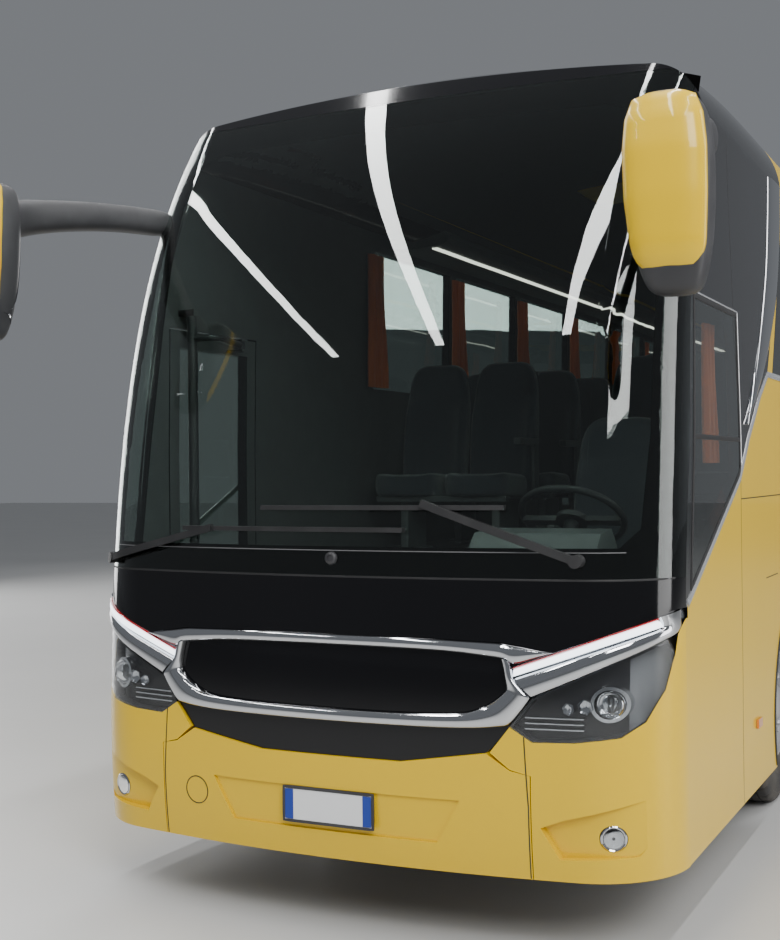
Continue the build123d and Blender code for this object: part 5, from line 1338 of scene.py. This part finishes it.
# %% Build the studio
FLOOR_HALF = 60.0
floor_mesh = bpy.data.meshes.new("studio_floor")
floor_mesh.from_pydata([(-FLOOR_HALF, -FLOOR_HALF, 0), (FLOOR_HALF, -FLOOR_HALF, 0),
                        (FLOOR_HALF, FLOOR_HALF, 0), (-FLOOR_HALF, FLOOR_HALF, 0)], [], [(0, 1, 2, 3)])
floor = bpy.data.objects.new("studio_floor", floor_mesh)
bpy.context.scene.collection.objects.link(floor)
floor_mesh.materials.append(finish("studio_floor", (0.60, 0.60, 0.59), 0.45, tone=0.04))

world = bpy.data.worlds.new("studio_world")
world.use_nodes = True
world.node_tree.nodes["Background"].inputs["Color"].default_value = (0.80, 0.84, 0.90, 1.0)
world.node_tree.nodes["Background"].inputs["Strength"].default_value = 0.24
bpy.context.scene.world = world

# columns: name, place, aimed at, width, length, watts
LAMPS = [
    ("key_lamp", (7.0, -13.0, 8.0), (0.0, -5.0, 1.5), 5.0, 5.0, 1000),
    ("side_lamp", (13.0, -1.0, 6.0), (0.0, 0.0, 1.8), 6.0, 12.0, 1150),
    ("far_side_lamp", (-13.0, 2.0, 6.0), (0.0, 0.0, 1.8), 6.0, 12.0, 900),
    ("rear_lamp", (-7.0, 15.0, 7.0), (0.0, 6.0, 1.8), 6.0, 5.0, 700),
    ("tube_left", (3.4, -7.0, 7.5), (3.4, -7.0, 0.0), 0.22, 12.0, 240),
    ("tube_middle", (0.6, -7.0, 7.5), (0.6, -7.0, 0.0), 0.22, 12.0, 240),
    ("tube_right", (-2.2, -7.0, 7.5), (-2.2, -7.0, 0.0), 0.22, 12.0, 240),
    ("tube_far", (-5.0, -7.0, 7.5), (-5.0, -7.0, 0.0), 0.22, 12.0, 240),
]
for name, place, aim, width, length, watts in LAMPS:
    data = bpy.data.lights.new(name, "AREA")
    data.shape = "RECTANGLE"
    data.size = width
    data.size_y = length
    data.energy = watts
    lamp = bpy.data.objects.new(name, data)
    lamp.location = place
    lamp.rotation_euler = (Vector(aim) - Vector(place)).to_track_quat("-Z", "Y").to_euler()
    bpy.context.scene.collection.objects.link(lamp)
print("studio lamps:", len(LAMPS))

# %% [markdown]
# The camera stands where the photographer stood. Its place, turn and focal length were fitted to
# the photo beforehand, so the render and the photo can be laid over each other.

# %% Place the camera
CAMERA_PLACE = Vector((2.4621, -10.4495, 1.773))
CAMERA_YAW, CAMERA_PITCH, CAMERA_ROLL = 0.4515, 0.0019, -0.0106
FOCAL_PIXELS, FRAME_HEIGHT, SENSOR = 1342.4, 940, 36.0
ahead = Vector((-math.sin(CAMERA_YAW) * math.cos(CAMERA_PITCH),
                math.cos(CAMERA_YAW) * math.cos(CAMERA_PITCH), math.sin(CAMERA_PITCH)))
level = Vector((math.cos(CAMERA_YAW), math.sin(CAMERA_YAW), 0.0))
upward = level.cross(ahead)
right = level * math.cos(CAMERA_ROLL) + upward * math.sin(CAMERA_ROLL)
upright = upward * math.cos(CAMERA_ROLL) - level * math.sin(CAMERA_ROLL)
camera_data = bpy.data.cameras.new("photo_camera")
camera_data.sensor_width = SENSOR
camera_data.lens = FOCAL_PIXELS / FRAME_HEIGHT * SENSOR
camera_data.clip_end = 200.0
camera = bpy.data.objects.new("photo_camera", camera_data)
camera.matrix_world = Matrix((
    (right.x, upright.x, -ahead.x, CAMERA_PLACE.x),
    (right.y, upright.y, -ahead.y, CAMERA_PLACE.y),
    (right.z, upright.z, -ahead.z, CAMERA_PLACE.z),
    (0.0, 0.0, 0.0, 1.0)))
bpy.context.scene.collection.objects.link(camera)
bpy.context.scene.camera = camera
print("lens in mm:", round(camera_data.lens, 2))

# %% [markdown]
# Last, the CAD box that was measured at the start is printed.

# %% Print the CAD box
print("CAD box:", cad_box)
